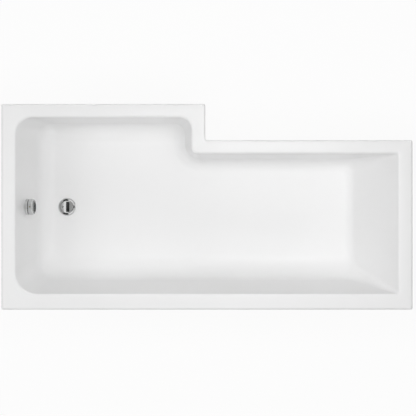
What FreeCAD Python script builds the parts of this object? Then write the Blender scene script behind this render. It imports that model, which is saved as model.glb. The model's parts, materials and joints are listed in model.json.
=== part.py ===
import FreeCAD, Part
import math
import os
import re

import Sketcher
from FreeCAD import Vector

# L-shaped shower bath with its leg set, pop-up waste and overflow, in millimetres.
# +Z is up, +X runs from the shower end to the backrest, +Y from the wall side to the stepped front.
# The origin lies on the floor at the centre of the overall box.

# Driving dimensions: name, size or formula of earlier ones, and meaning.
DIMENSIONS = (
    ("bath_length", 1700, "overall length"),
    ("shower_width", 850, "overall width at the shower end"),
    ("step_depth", 150, "how far the shower end stands out beyond the narrow end"),
    ("narrow_width", "=shower_width - step_depth", "overall width at the backrest end"),
    ("shower_length", 843, "length of the wide shower end"),
    ("bath_height", 540, "floor to top of rim"),
    ("floor_height", 150, "room floor to the bath's inside floor"),
    ("well_depth", "=bath_height - floor_height", "top of rim to inside floor"),
    ("shell_wall", 6, "acrylic with its glass-fibre backing"),
    ("lip_height", 40, "height of the down-turned rim lip"),
    ("rim_left", 58, "rim width at the shower end"),
    ("rim_right", 58, "rim width at the backrest end"),
    ("rim_back", 65, "rim width along the wall side"),
    ("rim_front", 55, "rim width along the shower front"),
    ("rim_narrow", 55, "rim width along the narrow front"),
    ("rim_step", 57, "rim width along the step"),
    ("left_run", 75, "lean of the shower end wall, rim to floor"),
    ("right_run", 167, "lean of the backrest"),
    ("back_run", 60, "lean of the wall side"),
    ("front_run", 16, "lean of the shower front wall"),
    ("narrow_run", 18, "lean of the narrow front wall"),
    ("step_run", 34, "lean of the step wall"),
    ("left_sweep", 80, "floor sweep radius at the shower end"),
    ("right_sweep", 52, "floor sweep radius at the backrest"),
    ("back_sweep", 110, "floor sweep radius along the wall side"),
    ("front_sweep", 80, "floor sweep radius along the shower front"),
    ("narrow_sweep", 54, "floor sweep radius along the narrow front and the step"),
    ("back_left_corner", 90, "well corner radius at the rim, wall side and shower end"),
    ("back_right_corner", 10, "well corner radius at the rim, wall side and backrest"),
    ("narrow_right_corner", 10, "well corner radius at the rim, narrow front and backrest"),
    ("notch_corner", 26, "well corner radius at the rim, inward corner of the step"),
    ("step_corner", 50, "well corner radius at the rim, step and shower front"),
    ("front_left_corner", 70, "well corner radius at the rim, shower front and shower end"),
    ("back_left_foot", 90, "well corner radius at the floor, wall side and shower end"),
    ("back_right_foot", 60, "well corner radius at the floor, wall side and backrest"),
    ("narrow_right_foot", 50, "well corner radius at the floor, narrow front and backrest"),
    ("notch_foot", 70, "well corner radius at the floor, inward corner of the step"),
    ("step_foot", 50, "well corner radius at the floor, step and shower front"),
    ("front_left_foot", 70, "well corner radius at the floor, shower front and shower end"),
    ("rim_corner", 8, "outside corner radius of the rim"),
    ("rim_notch", 10, "inward corner radius of the rim's outline"),
    ("rim_edge", 9, "rounding of the rim's outer top edge"),
    ("rollover", 10, "rounding from the rim into the well"),
    ("board_thick", 15, "baseboard thickness"),
    ("board_margin", 12, "baseboard edge inside the flat floor"),
    ("board_waste_gap", 74, "waste centre to baseboard"),
    ("batten_width", 32, "rim batten width"),
    ("batten_thick", 18, "rim batten thickness"),
    ("batten_lip_gap", 3, "rim batten to lip"),
    ("batten_end_gap", 90, "rim batten end to the rim's end"),
    ("shower_rail_from_end", 430, "shower rail centre to shower end"),
    ("slope_rail_from_end", 420, "slope rail centre to backrest end"),
    ("rail_width", 40, "channel width"),
    ("rail_height", 30, "channel height"),
    ("rail_gauge", 2, "sheet thickness of channels and bracket"),
    ("rail_bend", 3, "outside radius of the sheet's bends"),
    ("sheet_edge", 0.5, "rounding of the sheet's cut edges"),
    ("rail_overhang", 32, "channel end beyond the stud centre"),
    ("leg_from_back", 112, "stud centre to the wall-side rim edge"),
    ("leg_from_front", 57, "stud centre to the front rim edge"),
    ("hat_height", 50, "centre bracket height"),
    ("hat_web", 44, "centre bracket web width"),
    ("hat_flange", 24, "centre bracket flange width"),
    ("hat_length", 70, "centre bracket length"),
    ("hat_screw_pitch", 40, "centre bracket screw spacing"),
    ("stud_radius", 6, "leg stud radius"),
    ("stud_chamfer", 1.2, "leg stud end chamfer"),
    ("stud_spare", 30, "rail stud above its top nut"),
    ("centre_stud_spare", 16, "centre stud above its top nut"),
    ("stud_clearance", 0.1, "radial room of studs in nuts, rails and feet"),
    ("nut_flats", 19, "lock nut across flats"),
    ("nut_height", 10, "lock nut height"),
    ("washer_radius", 12, "leg washer radius"),
    ("washer_thick", 2.5, "leg washer thickness"),
    ("foot_radius", 30, "foot sole radius"),
    ("foot_rim", 7, "foot sole height at its edge"),
    ("foot_neck", 12, "foot radius at its top"),
    ("foot_height", 30, "foot height"),
    ("foot_sole", 6, "foot thickness under the stud"),
    ("screw_radius", 2.25, "frame screw radius"),
    ("screw_length", 12, "frame screw length in the baseboard"),
    ("screw_head_radius", 4.5, "frame screw head radius"),
    ("screw_head_thick", 3, "frame screw head thickness"),
    ("screw_clearance", 0.1, "radial room of screws"),
    ("screw_spread", 10, "frame screw to rail centre line"),
    ("screw_edge", 24, "frame screw to baseboard edge"),
    ("waste_from_end", 244, "waste centre to shower end"),
    ("waste_from_back", "=shower_width/2", "waste centre to the wall side"),
    ("waste_hole", 26, "waste hole radius in the floor"),
    ("waste_flange_radius", 38, "waste flange radius"),
    ("waste_flange_edge", 1.2, "waste flange thickness at its edge"),
    ("waste_flange_thick", 3, "waste flange thickness at its ridge"),
    ("waste_flange_ridge", 2.5, "waste flange ridge inside the edge"),
    ("waste_seat", 1.2, "waste flange thickness at the plug seat"),
    ("spigot_radius", 23.9, "flange spigot radius, 1 1/2 inch pipe thread"),
    ("spigot_bore", 20, "flange spigot bore radius"),
    ("spigot_length", 28, "flange spigot below the floor"),
    ("thread_clearance", 0.1, "radial room of threaded spigots"),
    ("guide_hub", 7, "guide hub radius in the spigot"),
    ("guide_bar", 4, "guide bar width"),
    ("guide_thick", 6, "guide hub thickness"),
    ("guide_drop", 17, "underside of the guide below the floor"),
    ("upper_seal_radius", 33, "upper waste seal radius"),
    ("upper_seal_thick", 1.5, "upper waste seal thickness"),
    ("lower_seal_radius", 37, "lower waste seal radius"),
    ("lower_seal_thick", 3, "lower waste seal thickness"),
    ("body_flange_radius", 38, "waste body flange radius"),
    ("body_flange_thick", 4, "waste body flange thickness"),
    ("body_radius", 30, "waste body radius"),
    ("body_wall", 4, "waste body wall"),
    ("chamber_drop", 60, "chamber floor below the bath floor"),
    ("chamber_cone", 7, "height of the cone to the outlet"),
    ("outlet_radius", 23.9, "outlet radius, 1 1/2 inch pipe thread"),
    ("outlet_bore", 18.5, "outlet bore radius"),
    ("waste_drop", 94, "outlet end below the bath floor"),
    ("plug_radius", 26, "plug radius"),
    ("plug_edge", 2, "plug thickness at its edge"),
    ("plug_crown", 4, "height of the plug's dome"),
    ("plug_seal_radius", 24.5, "plug seal radius"),
    ("plug_seal_width", 3.6, "plug seal width"),
    ("plug_seal_thick", 1.8, "plug seal thickness"),
    ("seat_gap", 0.3, "gap between parts that only touch when loaded"),
    ("stem_radius", 4, "plug stem radius"),
    ("stem_drop", 38, "plug stem end below the floor"),
    ("run_clearance", 0.1, "radial room of turning and sliding parts"),
    ("adjuster_radius", 2.5, "stem adjuster shank radius"),
    ("adjuster_length", 11, "stem adjuster shank in the stem"),
    ("adjuster_head_radius", 3.4, "stem adjuster head radius"),
    ("adjuster_head_thick", 3.5, "stem adjuster head thickness"),
    ("plug_lift", 10, "travel of the plug"),
    ("rocker_arm", 13, "rocker pivot to plug stem"),
    ("rocker_tail", 7, "rocker pivot to cable eye"),
    ("rocker_tip", 3, "rocker tip radius"),
    ("rocker_hub", 4.2, "rocker hub radius"),
    ("rocker_bar", 3, "rocker bar height"),
    ("rocker_thick", 5, "rocker thickness"),
    ("rocker_pin_radius", 2, "rocker pin radius"),
    ("overflow_drop", 166, "overflow centre below the rim"),
    ("overflow_hole", 25, "overflow hole radius in the end wall"),
    ("overflow_flange_radius", 34, "overflow flange radius"),
    ("overflow_flange_thick", 11, "overflow flange thickness"),
    ("overflow_bevel", 2, "overflow flange edge bevel"),
    ("overflow_spigot", 22.5, "overflow spigot radius"),
    ("overflow_bore", 20, "overflow spigot bore radius"),
    ("overflow_spigot_length", 18, "overflow spigot behind the wall face"),
    ("bearing_hub", 8.5, "spindle bearing radius"),
    ("bearing_bar", 4, "spindle bearing bar width"),
    ("bearing_thick", 5, "spindle bearing thickness"),
    ("gasket_radius", 33, "overflow gasket radius"),
    ("gasket_thick", 3, "overflow gasket thickness"),
    ("elbow_radius", 28, "overflow elbow radius"),
    ("elbow_wall", 3.5, "overflow elbow wall"),
    ("elbow_depth", 50, "overflow elbow behind the wall face"),
    ("elbow_flange_thick", 4, "overflow elbow flange thickness"),
    ("elbow_outlet_depth", 35, "pipe axis behind the wall face"),
    ("knob_radius", 34, "knob radius"),
    ("knob_depth", 18, "knob depth"),
    ("knob_gap", 3, "water gap between flange and knob"),
    ("knob_wall", 2.5, "knob side wall"),
    ("knob_face", 3, "knob front wall"),
    ("knob_boss", 9, "knob boss radius"),
    ("knob_round", 4, "rounding of the knob's front edge"),
    ("grub_radius", 2, "grub screw radius"),
    ("grub_socket", 2, "grub screw socket across flats"),
    ("grub_access", 3, "access hole radius in the knob"),
    ("grub_from_back", 9, "grub screw axis to the knob's back edge"),
    ("spindle_radius", 5, "spindle radius"),
    ("crank_arm", 14, "crank pin to spindle axis"),
    ("crank_width", 8, "crank arm width"),
    ("crank_thick", 6, "crank arm thickness"),
    ("crank_pin_radius", 2, "crank pin radius"),
    ("crank_pin_length", 5, "crank pin beyond the arm"),
    ("pipe_radius", 15, "overflow pipe radius"),
    ("pipe_bore", 12.5, "overflow pipe bore radius"),
    ("pipe_bend", 75, "overflow pipe bend radius"),
    ("pipe_drop", 46, "overflow pipe inlet axis below the bath floor"),
    ("pipe_spigot_bore", 9.5, "bore radius of the pipe spigots"),
    ("pipe_spigot_length", 30, "length of the pipe spigots"),
    ("pipe_nut_radius", 20, "pipe nut radius"),
    ("pipe_nut_length", 20, "pipe nut length"),
    ("pipe_nut_grip", 2, "radius of the pipe nut's finger grooves"),
    ("port_radius", 6, "cable port radius"),
    ("port_bore", 2.6, "cable port bore radius"),
    ("port_length", 14, "cable port length"),
    ("port_turn", 50, "cable port to pipe direction, degrees"),
)
GROOVE_COUNT = 8

document = FreeCAD.newDocument("shower_bath")
sheet = document.addObject("Spreadsheet::Sheet", "dims")
for row, (alias, amount, meaning) in enumerate(DIMENSIONS, start=1):
    sheet.set(f"A{row}", meaning)
    sheet.set(f"B{row}", str(amount))
    sheet.setAlias(f"B{row}", alias)
document.recompute()

ALIAS = re.compile(r"\b(" + "|".join(entry[0] for entry in DIMENSIONS) + r")\b")
SUB_PARTS = []

# Places worked out from the driving dimensions.
OUTSIDE = {
    "left": "(-bath_length/2)",
    "right": "(bath_length/2)",
    "back": "(-shower_width/2)",
    "front": "(shower_width/2)",
    "narrow": "(narrow_width - shower_width/2)",
    "step": "(shower_length - bath_length/2)",
}
INWARD = {"left": "+", "right": "-", "back": "+", "front": "-", "narrow": "-", "step": "-"}
SWEEPS = {wall: f"{wall}_sweep" for wall in OUTSIDE}
SWEEPS["step"] = "narrow_sweep"
# Corners of the L in order, each with the two walls that meet there.
CORNERS = {
    "back_left": ("left", "back"),
    "back_right": ("right", "back"),
    "narrow_right": ("right", "narrow"),
    "notch": ("step", "narrow"),
    "step": ("step", "front"),
    "front_left": ("left", "front"),
}
FLOOR_TOP = "floor_height"
FLOOR_UNDER = f"({FLOOR_TOP} - shell_wall)"
BOARD_UNDER = f"({FLOOR_UNDER} - board_thick)"
RIM_UNDER = "(bath_height - shell_wall)"
WASTE_X = f"({OUTSIDE['left']} + waste_from_end)"
WASTE_Y = f"({OUTSIDE['back']} + waste_from_back)"
END_WALL_LEAN = "atan(left_run/well_depth)"
WASTE_PLACE = f"placement(vector({WASTE_X}; {WASTE_Y}; {FLOOR_TOP}); rotation(vector(0; 0; 1); 0))"
OVERFLOW_X = f"({OUTSIDE['left']} + rim_left + overflow_drop*left_run/well_depth)"
OVERFLOW_Z = "(bath_height - overflow_drop)"
# In the overflow's own frame +Z points into the bath along the wall's normal and +X down the wall.
OVERFLOW_PLACE = (f"placement(vector({OVERFLOW_X}; {WASTE_Y}; {OVERFLOW_Z});"
                  f" rotation(vector(0; 1; 0); 90deg - {END_WALL_LEAN}))")
PIPE_SPIGOT = "(pipe_bore - run_clearance)"


def size(formula):
    """Present value of a formula of driving dimensions."""
    found = sheet.evalExpression(formula)
    return float(getattr(found, "Value", found))


def bind(thing, path, formula):
    """Tie a property of a document object to a formula of driving dimensions."""
    thing.setExpression(path, ALIAS.sub(r"dims.\1", formula))


def sub_part(thing, label):
    """Count an object as a sub-part of the bath under its own name."""
    thing.Label = label
    SUB_PARTS.append(thing)
    return thing


def new_body(name, place=None):
    """Start a body, placed by a formula."""
    body = document.addObject("PartDesign::Body", name)
    if place:
        bind(body, "Placement", place)
    return body


def new_sketch(body, name, plane, lift=None, offset=None):
    """Start a sketch on an origin plane, lifted along its normal or offset by a placement formula."""
    sketch = body.newObject("Sketcher::SketchObject", name)
    support = next(item for item in body.Origin.OriginFeatures if item.Role == plane)
    sketch.AttachmentSupport = [(support, "")]
    sketch.MapMode = "FlatFace"
    if lift:
        bind(sketch, "AttachmentOffset.Base.z", lift)
    if offset:
        bind(sketch, "AttachmentOffset", offset)
    return sketch


def hold(sketch, kind, references, formula):
    """Add one dimension to a sketch and tie it to a formula."""
    index = sketch.addConstraint(Sketcher.Constraint(kind, *references, size(formula)))
    bind(sketch, f"Constraints[{index}]", formula)


def arc_between(start, end, radius):
    """Arc that turns left from start to end."""
    chord = end - start
    left = Vector(-chord.y, chord.x, 0).normalize()
    centre = (start + end) * 0.5 + left * math.sqrt(max(0.0, radius ** 2 - (chord.Length / 2) ** 2))
    first = math.atan2(start.y - centre.y, start.x - centre.x)
    last = math.atan2(end.y - centre.y, end.x - centre.x)
    if last < first:
        last += 2 * math.pi
    return Part.ArcOfCircle(Part.Circle(centre, Vector(0, 0, 1), radius), first, last)


def draw_loop(sketch, corners):
    """Closed outline through corners given as formulas; a third formula makes the next edge an arc."""
    points = [Vector(size(corner[0]), size(corner[1]), 0) for corner in corners]
    edges = []
    for index, corner in enumerate(corners):
        start, end = points[index], points[(index + 1) % len(points)]
        if len(corner) > 2:
            edges.append(sketch.addGeometry(arc_between(start, end, size(corner[2])), False))
        else:
            edges.append(sketch.addGeometry(Part.LineSegment(start, end), False))
    for index, edge in enumerate(edges):
        following = edges[(index + 1) % len(edges)]
        sketch.addConstraint(Sketcher.Constraint("Coincident", edge, 2, following, 1))
    for edge, corner in zip(edges, corners):
        hold(sketch, "DistanceX", (-1, 1, edge, 1), corner[0])
        hold(sketch, "DistanceY", (-1, 1, edge, 1), corner[1])
        if len(corner) > 2:
            hold(sketch, "Radius", (edge,), corner[2])


def draw_rounded_loop(sketch, corners):
    """Closed outline of lines along X and Y in turn, with a tangent arc at each (x, y, radius) corner."""
    points = [Vector(size(corner[0]), size(corner[1]), 0) for corner in corners]
    radii = [size(corner[2]) for corner in corners]
    count = len(points)
    headings = [(points[(i + 1) % count] - points[i]).normalize() for i in range(count)]
    lines, arcs, lefts = [], [], []
    for i in range(count):
        j = (i + 1) % count
        start = points[i] + headings[i] * radii[i]
        end = points[j] - headings[i] * radii[j]
        turned = points[j] + headings[j] * radii[j]
        lefts.append(headings[i].cross(headings[j]).z > 0)
        ends = (end, turned) if lefts[i] else (turned, end)
        lines.append(sketch.addGeometry(Part.LineSegment(start, end), False))
        arcs.append(sketch.addGeometry(arc_between(*ends, radii[j]), False))
    for i in range(count):
        j = (i + 1) % count
        near, far = (1, 2) if lefts[i] else (2, 1)
        sketch.addConstraint(Sketcher.Constraint("Tangent", lines[i], 2, arcs[i], near))
        sketch.addConstraint(Sketcher.Constraint("Tangent", arcs[i], far, lines[j], 1))
        level = abs(headings[i].x) > 0.5
        sketch.addConstraint(Sketcher.Constraint("Horizontal" if level else "Vertical", lines[i]))
        kind, place = ("DistanceY", corners[i][1]) if level else ("DistanceX", corners[i][0])
        hold(sketch, kind, (-1, 1, lines[i], 1), place)
        hold(sketch, "Radius", (arcs[i],), corners[j][2])


def draw_circle(sketch, across, along, radius):
    """Circle whose centre and radius are formulas."""
    centre = Vector(size(across), size(along), 0)
    circle = sketch.addGeometry(Part.Circle(centre, Vector(0, 0, 1), size(radius)), False)
    hold(sketch, "DistanceX", (-1, 1, circle, 3), across)
    hold(sketch, "DistanceY", (-1, 1, circle, 3), along)
    hold(sketch, "Radius", (circle,), radius)


def extrude(body, kind, name, sketch, length, backwards=False):
    """Pad or Pocket of a sketch; backwards turns its direction round."""
    feature = body.newObject(f"PartDesign::{kind}", name)
    feature.Profile = sketch
    feature.Reversed = backwards
    bind(feature, "Length", length)
    return feature


def turn(body, name, profile):
    """Revolve a profile of (radius, height) corners round the body's Z axis."""
    sketch = new_sketch(body, f"{name}_profile", "XZ_Plane")
    draw_loop(sketch, profile)
    feature = body.newObject("PartDesign::Revolution", name)
    feature.Profile = sketch
    feature.ReferenceAxis = (sketch, ["V_Axis"])
    feature.Angle = 360
    return feature


def pad_circle(body, name, plane, centre, radius, length, backwards=False, lift=None, offset=None):
    """Round boss on an origin plane."""
    sketch = new_sketch(body, f"{name}_outline", plane, lift, offset)
    draw_circle(sketch, *centre, radius)
    return extrude(body, "Pad", name, sketch, length, backwards)


def cut_circle(body, name, plane, centre, radius, length, backwards=False, lift=None, offset=None):
    """Round hole from an origin plane."""
    sketch = new_sketch(body, f"{name}_outline", plane, lift, offset)
    draw_circle(sketch, *centre, radius)
    return extrude(body, "Pocket", name, sketch, length, backwards)


def pad_cross(body, name, half_length, bar, thick, lift):
    """Four bars that cross in the middle."""
    half = f"({bar}/2)"
    reach = f"({half_length})"
    corners = [(half, half), (half, reach), (f"-{half}", reach), (f"-{half}", half)]
    corners += [(f"-{reach}", half), (f"-{reach}", f"-{half}"), (f"-{half}", f"-{half}")]
    corners += [(f"-{half}", f"-{reach}"), (half, f"-{reach}"), (half, f"-{half}")]
    corners += [(reach, f"-{half}"), (reach, half)]
    sketch = new_sketch(body, f"{name}_outline", "XY_Plane", lift)
    draw_loop(sketch, corners)
    return extrude(body, "Pad", name, sketch, thick)


def ring(label, place, inner, outer, low, high):
    """Flat round seal."""
    body = new_body(label, place)
    turn(body, f"{label}_ring", [(inner, low), (outer, low), (outer, high), (inner, high)])
    return sub_part(body, label)


def cylinder(name, radius, height, place):
    """Part cylinder placed by a formula."""
    solid = document.addObject("Part::Cylinder", name)
    bind(solid, "Radius", radius)
    bind(solid, "Height", height)
    bind(solid, "Placement", place)
    return solid


def cut(name, base, tool):
    """Part boolean: base without tool."""
    result = document.addObject("Part::Cut", name)
    result.Base = base
    result.Tool = tool
    return result


def wall_line(wall, depth, offset):
    """Where a wall's skin stands at a depth below the rim, moved outwards by offset along its normal."""
    slant = f"sqrt(well_depth^2 + {wall}_run^2)"
    lean = f"(({depth})*{wall}_run - ({offset})*{slant})/well_depth"
    return f"({OUTSIDE[wall]} {INWARD[wall]} (rim_{wall} + {lean}))"


def flat_floor_edge(wall):
    """Where the flat floor meets the foot of a wall's sweep."""
    sweep = SWEEPS[wall]
    slant = f"sqrt(well_depth^2 + {wall}_run^2)"
    reach = f"({sweep}*{slant} + (well_depth - {sweep})*{wall}_run)/well_depth"
    return f"({OUTSIDE[wall]} {INWARD[wall]} (rim_{wall} + {reach}))"


def edge_number(shape, start, end):
    """Number of the edge that joins two points."""
    for number, edge in enumerate(shape.Edges, start=1):
        ends = [vertex.Point for vertex in edge.Vertexes]
        for first, last in ((start, end), (end, start)):
            if (ends[0] - first).Length < 0.01 and (ends[-1] - last).Length < 0.01:
                return number
    raise RuntimeError(f"no edge from {start} to {end}")


def well_core(name, offset, top):
    """Solid of the well with leaning walls, rounded corners and floor sweeps, grown by offset.

    Its flat top lies at the depth `top` below the rim. Each corner's radius changes evenly
    from its value at the top to its value at the floor.
    """
    body = new_body(f"{name}_block")
    sketch = new_sketch(body, f"{name}_mouth", "XY_Plane", f"bath_height - ({top})")
    draw_loop(sketch, [tuple(wall_line(wall, top, offset) for wall in pair) for pair in CORNERS.values()])
    deepest = f"(well_depth + ({offset}))"
    feature = extrude(body, "Pad", f"{name}_pad", sketch, f"{deepest} - ({top})", backwards=True)
    document.recompute()
    for wall in OUTSIDE:
        feature = lean_wall(body, feature, name, wall, size(wall_line(wall, top, offset)))
    rows = []
    for depth in (top, deepest):
        height = size(f"bath_height - ({depth})")
        row = [[size(wall_line(wall, depth, offset)) for wall in pair] for pair in CORNERS.values()]
        rows.append([Vector(*point, height) for point in row])
    rounds = []
    for index, corner in enumerate(CORNERS):
        number = edge_number(body.Shape, rows[0][index], rows[1][index])
        growth = f"{'-' if corner == 'notch' else '+'} ({offset})"
        radii = [size(f"{corner}_{level} {growth}") for level in ("corner", "foot")]
        start = body.Shape.Edges[number - 1].firstVertex().Point
        if (start - rows[0][index]).Length > (start - rows[1][index]).Length:
            radii.reverse()
        rounds.append((number, *radii))
    for index, wall in enumerate(("back", "right", "narrow", "step", "front", "left")):
        ends = rows[1][index], rows[1][(index + 1) % len(CORNERS)]
        radius = size(f"{SWEEPS[wall]} + ({offset})")
        rounds.append((edge_number(body.Shape, *ends), radius, radius))
    core = document.addObject("Part::Fillet", name)
    core.Base = body
    core.Edges = rounds
    document.recompute()
    return core


def lean_wall(body, feature, name, wall, position):
    """Draft one upright wall of a core inwards towards the floor, hinged at the core's flat top."""
    along_x = wall in ("left", "right", "step")
    highest = feature.Shape.BoundBox.ZMax
    mouth = upright = None
    for number, face in enumerate(feature.Shape.Faces, start=1):
        box = face.BoundBox
        low, high = (box.XMin, box.XMax) if along_x else (box.YMin, box.YMax)
        if box.ZMin > highest - 0.01:
            mouth = f"Face{number}"
        elif abs(low - position) < 0.01 and abs(high - position) < 0.01:
            upright = f"Face{number}"
    draft = body.newObject("PartDesign::Draft", f"{name}_{wall}_lean")
    draft.Base = (feature, [upright])
    draft.NeutralPlane = (feature, [mouth])
    draft.Reversed = True
    bind(draft, "Angle", f"atan({wall}_run/well_depth)")
    document.recompute()
    return draft


def rim_outline(inset, corner, notch):
    """Corners of the rim's outline, moved inwards by a formula."""
    corners = []
    for key, pair in CORNERS.items():
        place = tuple(f"({OUTSIDE[wall]} {INWARD[wall]} ({inset}))" for wall in pair)
        corners.append(place + (notch if key == "notch" else corner,))
    return corners


def make_shell():
    """Moulded shell: rim tray with its lip, hollow well, rounded edges and the two holes."""
    tray = new_body("rim_tray")
    outline = new_sketch(tray, "rim_outline", "XY_Plane", "bath_height")
    draw_rounded_loop(outline, rim_outline("0", "rim_corner", "rim_notch"))
    extrude(tray, "Pad", "rim_block", outline, "lip_height", backwards=True)
    hollow = new_sketch(tray, "lip_outline", "XY_Plane", "bath_height - lip_height")
    draw_rounded_loop(hollow, rim_outline("shell_wall", "rim_corner", "rim_corner"))
    extrude(tray, "Pocket", "lip_hollow", hollow, "lip_height - shell_wall", backwards=True)
    outer = well_core("outer_skin", "shell_wall", "shell_wall/2")
    inner = well_core("inner_skin", "0", "-rollover")
    joined = document.addObject("Part::Fuse", "tray_and_well")
    joined.Base = tray
    joined.Tool = outer
    open_well = cut("open_well", joined, inner)
    document.recompute()
    rounded = document.addObject("Part::Fillet", "rounded_rim")
    rounded.Base = open_well
    rounded.Edges = rim_rounds(open_well.Shape)
    reach = "(shell_wall + 2*rollover)"
    waste = cylinder("waste_opening", "waste_hole", reach,
                     f"placement(vector({WASTE_X}; {WASTE_Y}; {FLOOR_UNDER} - rollover);"
                     " rotation(vector(0; 0; 1); 0))")
    behind = f"({reach}/2)"
    lean = f"({END_WALL_LEAN})"
    overflow = cylinder("overflow_opening", "overflow_hole", reach,
                        f"placement(vector({OVERFLOW_X} - {behind}*cos({lean}); {WASTE_Y};"
                        f" {OVERFLOW_Z} - {behind}*sin({lean}));"
                        f" rotation(vector(0; 1; 0); 90deg - {lean}))")
    sub_part(cut("bath_shell", cut("waste_holed", rounded, waste), overflow), "bath_shell")


def rim_rounds(shape):
    """Edge numbers and radii of the rim's outer and inner top edges."""
    height = size("bath_height")
    for face in shape.Faces:
        flat = face.BoundBox.ZMax - face.BoundBox.ZMin < 0.01
        if flat and abs(face.BoundBox.ZMax - height) < 0.01:
            break
    rounds = []
    for wire in face.Wires:
        radius = size("rim_edge" if wire.isSame(face.OuterWire) else "rollover")
        for edge in wire.Edges:
            number = next(n for n, other in enumerate(shape.Edges, start=1) if other.isSame(edge))
            rounds.append((number, radius, radius))
    return rounds


BOARD_LEFT = f"({WASTE_X} + board_waste_gap)"
BOARD_RIGHT = f"({flat_floor_edge('right')} - board_margin)"
BOARD_BACK = f"({flat_floor_edge('back')} + board_margin)"
BOARD_NARROW = f"({flat_floor_edge('narrow')} - board_margin)"
BOARD_STEP = f"({flat_floor_edge('step')} - board_margin)"
BOARD_FRONT = f"({flat_floor_edge('front')} - board_margin)"
SHOWER_RAIL_X = f"({OUTSIDE['left']} + shower_rail_from_end)"
SLOPE_RAIL_X = f"({OUTSIDE['right']} - slope_rail_from_end)"
CENTRE_X = f"(({SHOWER_RAIL_X} + {SLOPE_RAIL_X})/2)"
CENTRE_Y = f"(({BOARD_BACK} + {BOARD_NARROW})/2)"
LEG_BACK = f"({OUTSIDE['back']} + leg_from_back)"
LEG_FRONT = f"({OUTSIDE['front']} - leg_from_front)"
LEG_NARROW = f"({OUTSIDE['narrow']} - leg_from_front)"
HAT_SEAT = f"({BOARD_UNDER} - hat_height + rail_gauge)"
# Each leg: name, plan place, top of the sheet that its nuts clamp, stud above the top nut.
LEGS = (
    ("shower_back", SHOWER_RAIL_X, LEG_BACK, BOARD_UNDER, "stud_spare"),
    ("shower_front", SHOWER_RAIL_X, LEG_FRONT, BOARD_UNDER, "stud_spare"),
    ("slope_back", SLOPE_RAIL_X, LEG_BACK, BOARD_UNDER, "stud_spare"),
    ("slope_front", SLOPE_RAIL_X, LEG_NARROW, BOARD_UNDER, "stud_spare"),
    ("centre", CENTRE_X, CENTRE_Y, HAT_SEAT, "centre_stud_spare"),
)
INNER_BEND = "(rail_bend - rail_gauge)"
RAIL_SCREW_ROWS = (f"({BOARD_BACK} + screw_edge)", f"({BOARD_NARROW} - screw_edge)")


def frame_screw_places():
    """Plan places of the screws that hold rails and bracket to the baseboard."""
    places = []
    for rail in (SHOWER_RAIL_X, SLOPE_RAIL_X):
        for side in ("-", "+"):
            places += [(f"({rail} {side} screw_spread)", row) for row in RAIL_SCREW_ROWS]
    for along in ("-", "+"):
        for across in ("-", "+"):
            places.append((f"({CENTRE_X} {along} hat_screw_pitch/2)",
                           f"({CENTRE_Y} {across} (hat_web + hat_flange)/2)"))
    return places


def make_baseboard():
    """Chipboard panel under the flat floor, drilled for the frame screws."""
    body = new_body("baseboard")
    outline = new_sketch(body, "board_outline", "XY_Plane", BOARD_UNDER)
    draw_loop(outline, [(BOARD_LEFT, BOARD_BACK), (BOARD_RIGHT, BOARD_BACK), (BOARD_RIGHT, BOARD_NARROW),
                        (BOARD_STEP, BOARD_NARROW), (BOARD_STEP, BOARD_FRONT), (BOARD_LEFT, BOARD_FRONT)])
    extrude(body, "Pad", "board", outline, "board_thick")
    pilots = new_sketch(body, "pilot_holes", "XY_Plane", BOARD_UNDER)
    for place in frame_screw_places():
        draw_circle(pilots, *place, "screw_radius + screw_clearance")
    extrude(body, "Pocket", "pilots", pilots, "screw_length + seat_gap", backwards=True)
    sub_part(body, "baseboard")


def make_battens():
    """Timber battens bonded under the rim along the wall side and both fronts."""
    edge_gap = "(shell_wall + batten_lip_gap)"
    far = f"({edge_gap} + batten_width)"
    first = f"({OUTSIDE['left']} + batten_end_gap)"
    last = f"({OUTSIDE['right']} - batten_end_gap)"
    runs = {
        "back_batten": (first, last, f"({OUTSIDE['back']} + {edge_gap})"),
        "shower_batten": (first, f"({OUTSIDE['step']} - batten_end_gap)", f"({OUTSIDE['front']} - {far})"),
        "narrow_batten": (f"({OUTSIDE['step']} + batten_end_gap)", last, f"({OUTSIDE['narrow']} - {far})"),
    }
    for label, (start, end, near) in runs.items():
        batten = document.addObject("Part::Box", label)
        bind(batten, "Length", f"{end} - {start}")
        bind(batten, "Width", "batten_width")
        bind(batten, "Height", "batten_thick")
        bind(batten, "Placement", f"placement(vector({start}; {near}; {RIM_UNDER} - batten_thick);"
                                  " rotation(vector(0; 0; 1); 0))")
        sub_part(batten, label)


def make_rail(label, middle, front_leg):
    """Channel across the bath, open downwards, with stud and screw holes; its own X runs along world Y."""
    start = f"({LEG_BACK} - rail_overhang)"
    length = f"({front_leg} - {LEG_BACK} + 2*rail_overhang)"
    body = new_body(label, f"placement(vector({middle}; {start}; {BOARD_UNDER});"
                           " rotation(vector(0; 0; 1); 90))")
    half = "(rail_width/2)"
    inside = "(rail_width/2 - rail_gauge)"
    section = new_sketch(body, f"{label}_section", "YZ_Plane")
    draw_rounded_loop(section, [
        (f"-{half}", "0", "rail_bend"), (f"-{half}", "-rail_height", "sheet_edge"),
        (f"-{inside}", "-rail_height", "sheet_edge"), (f"-{inside}", "-rail_gauge", INNER_BEND),
        (inside, "-rail_gauge", INNER_BEND), (inside, "-rail_height", "sheet_edge"),
        (half, "-rail_height", "sheet_edge"), (half, "0", "rail_bend")])
    extrude(body, "Pad", f"{label}_channel", section, length)
    holes = new_sketch(body, f"{label}_holes", "XY_Plane")
    for along in ("rail_overhang", f"({length} - rail_overhang)"):
        draw_circle(holes, along, "0", "stud_radius + stud_clearance")
    for row in RAIL_SCREW_ROWS:
        for side in ("-screw_spread", "screw_spread"):
            draw_circle(holes, f"({row} - {start})", side, "screw_radius + screw_clearance")
    extrude(body, "Pocket", f"{label}_drilling", holes, "rail_gauge*2")
    sub_part(body, label)


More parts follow.
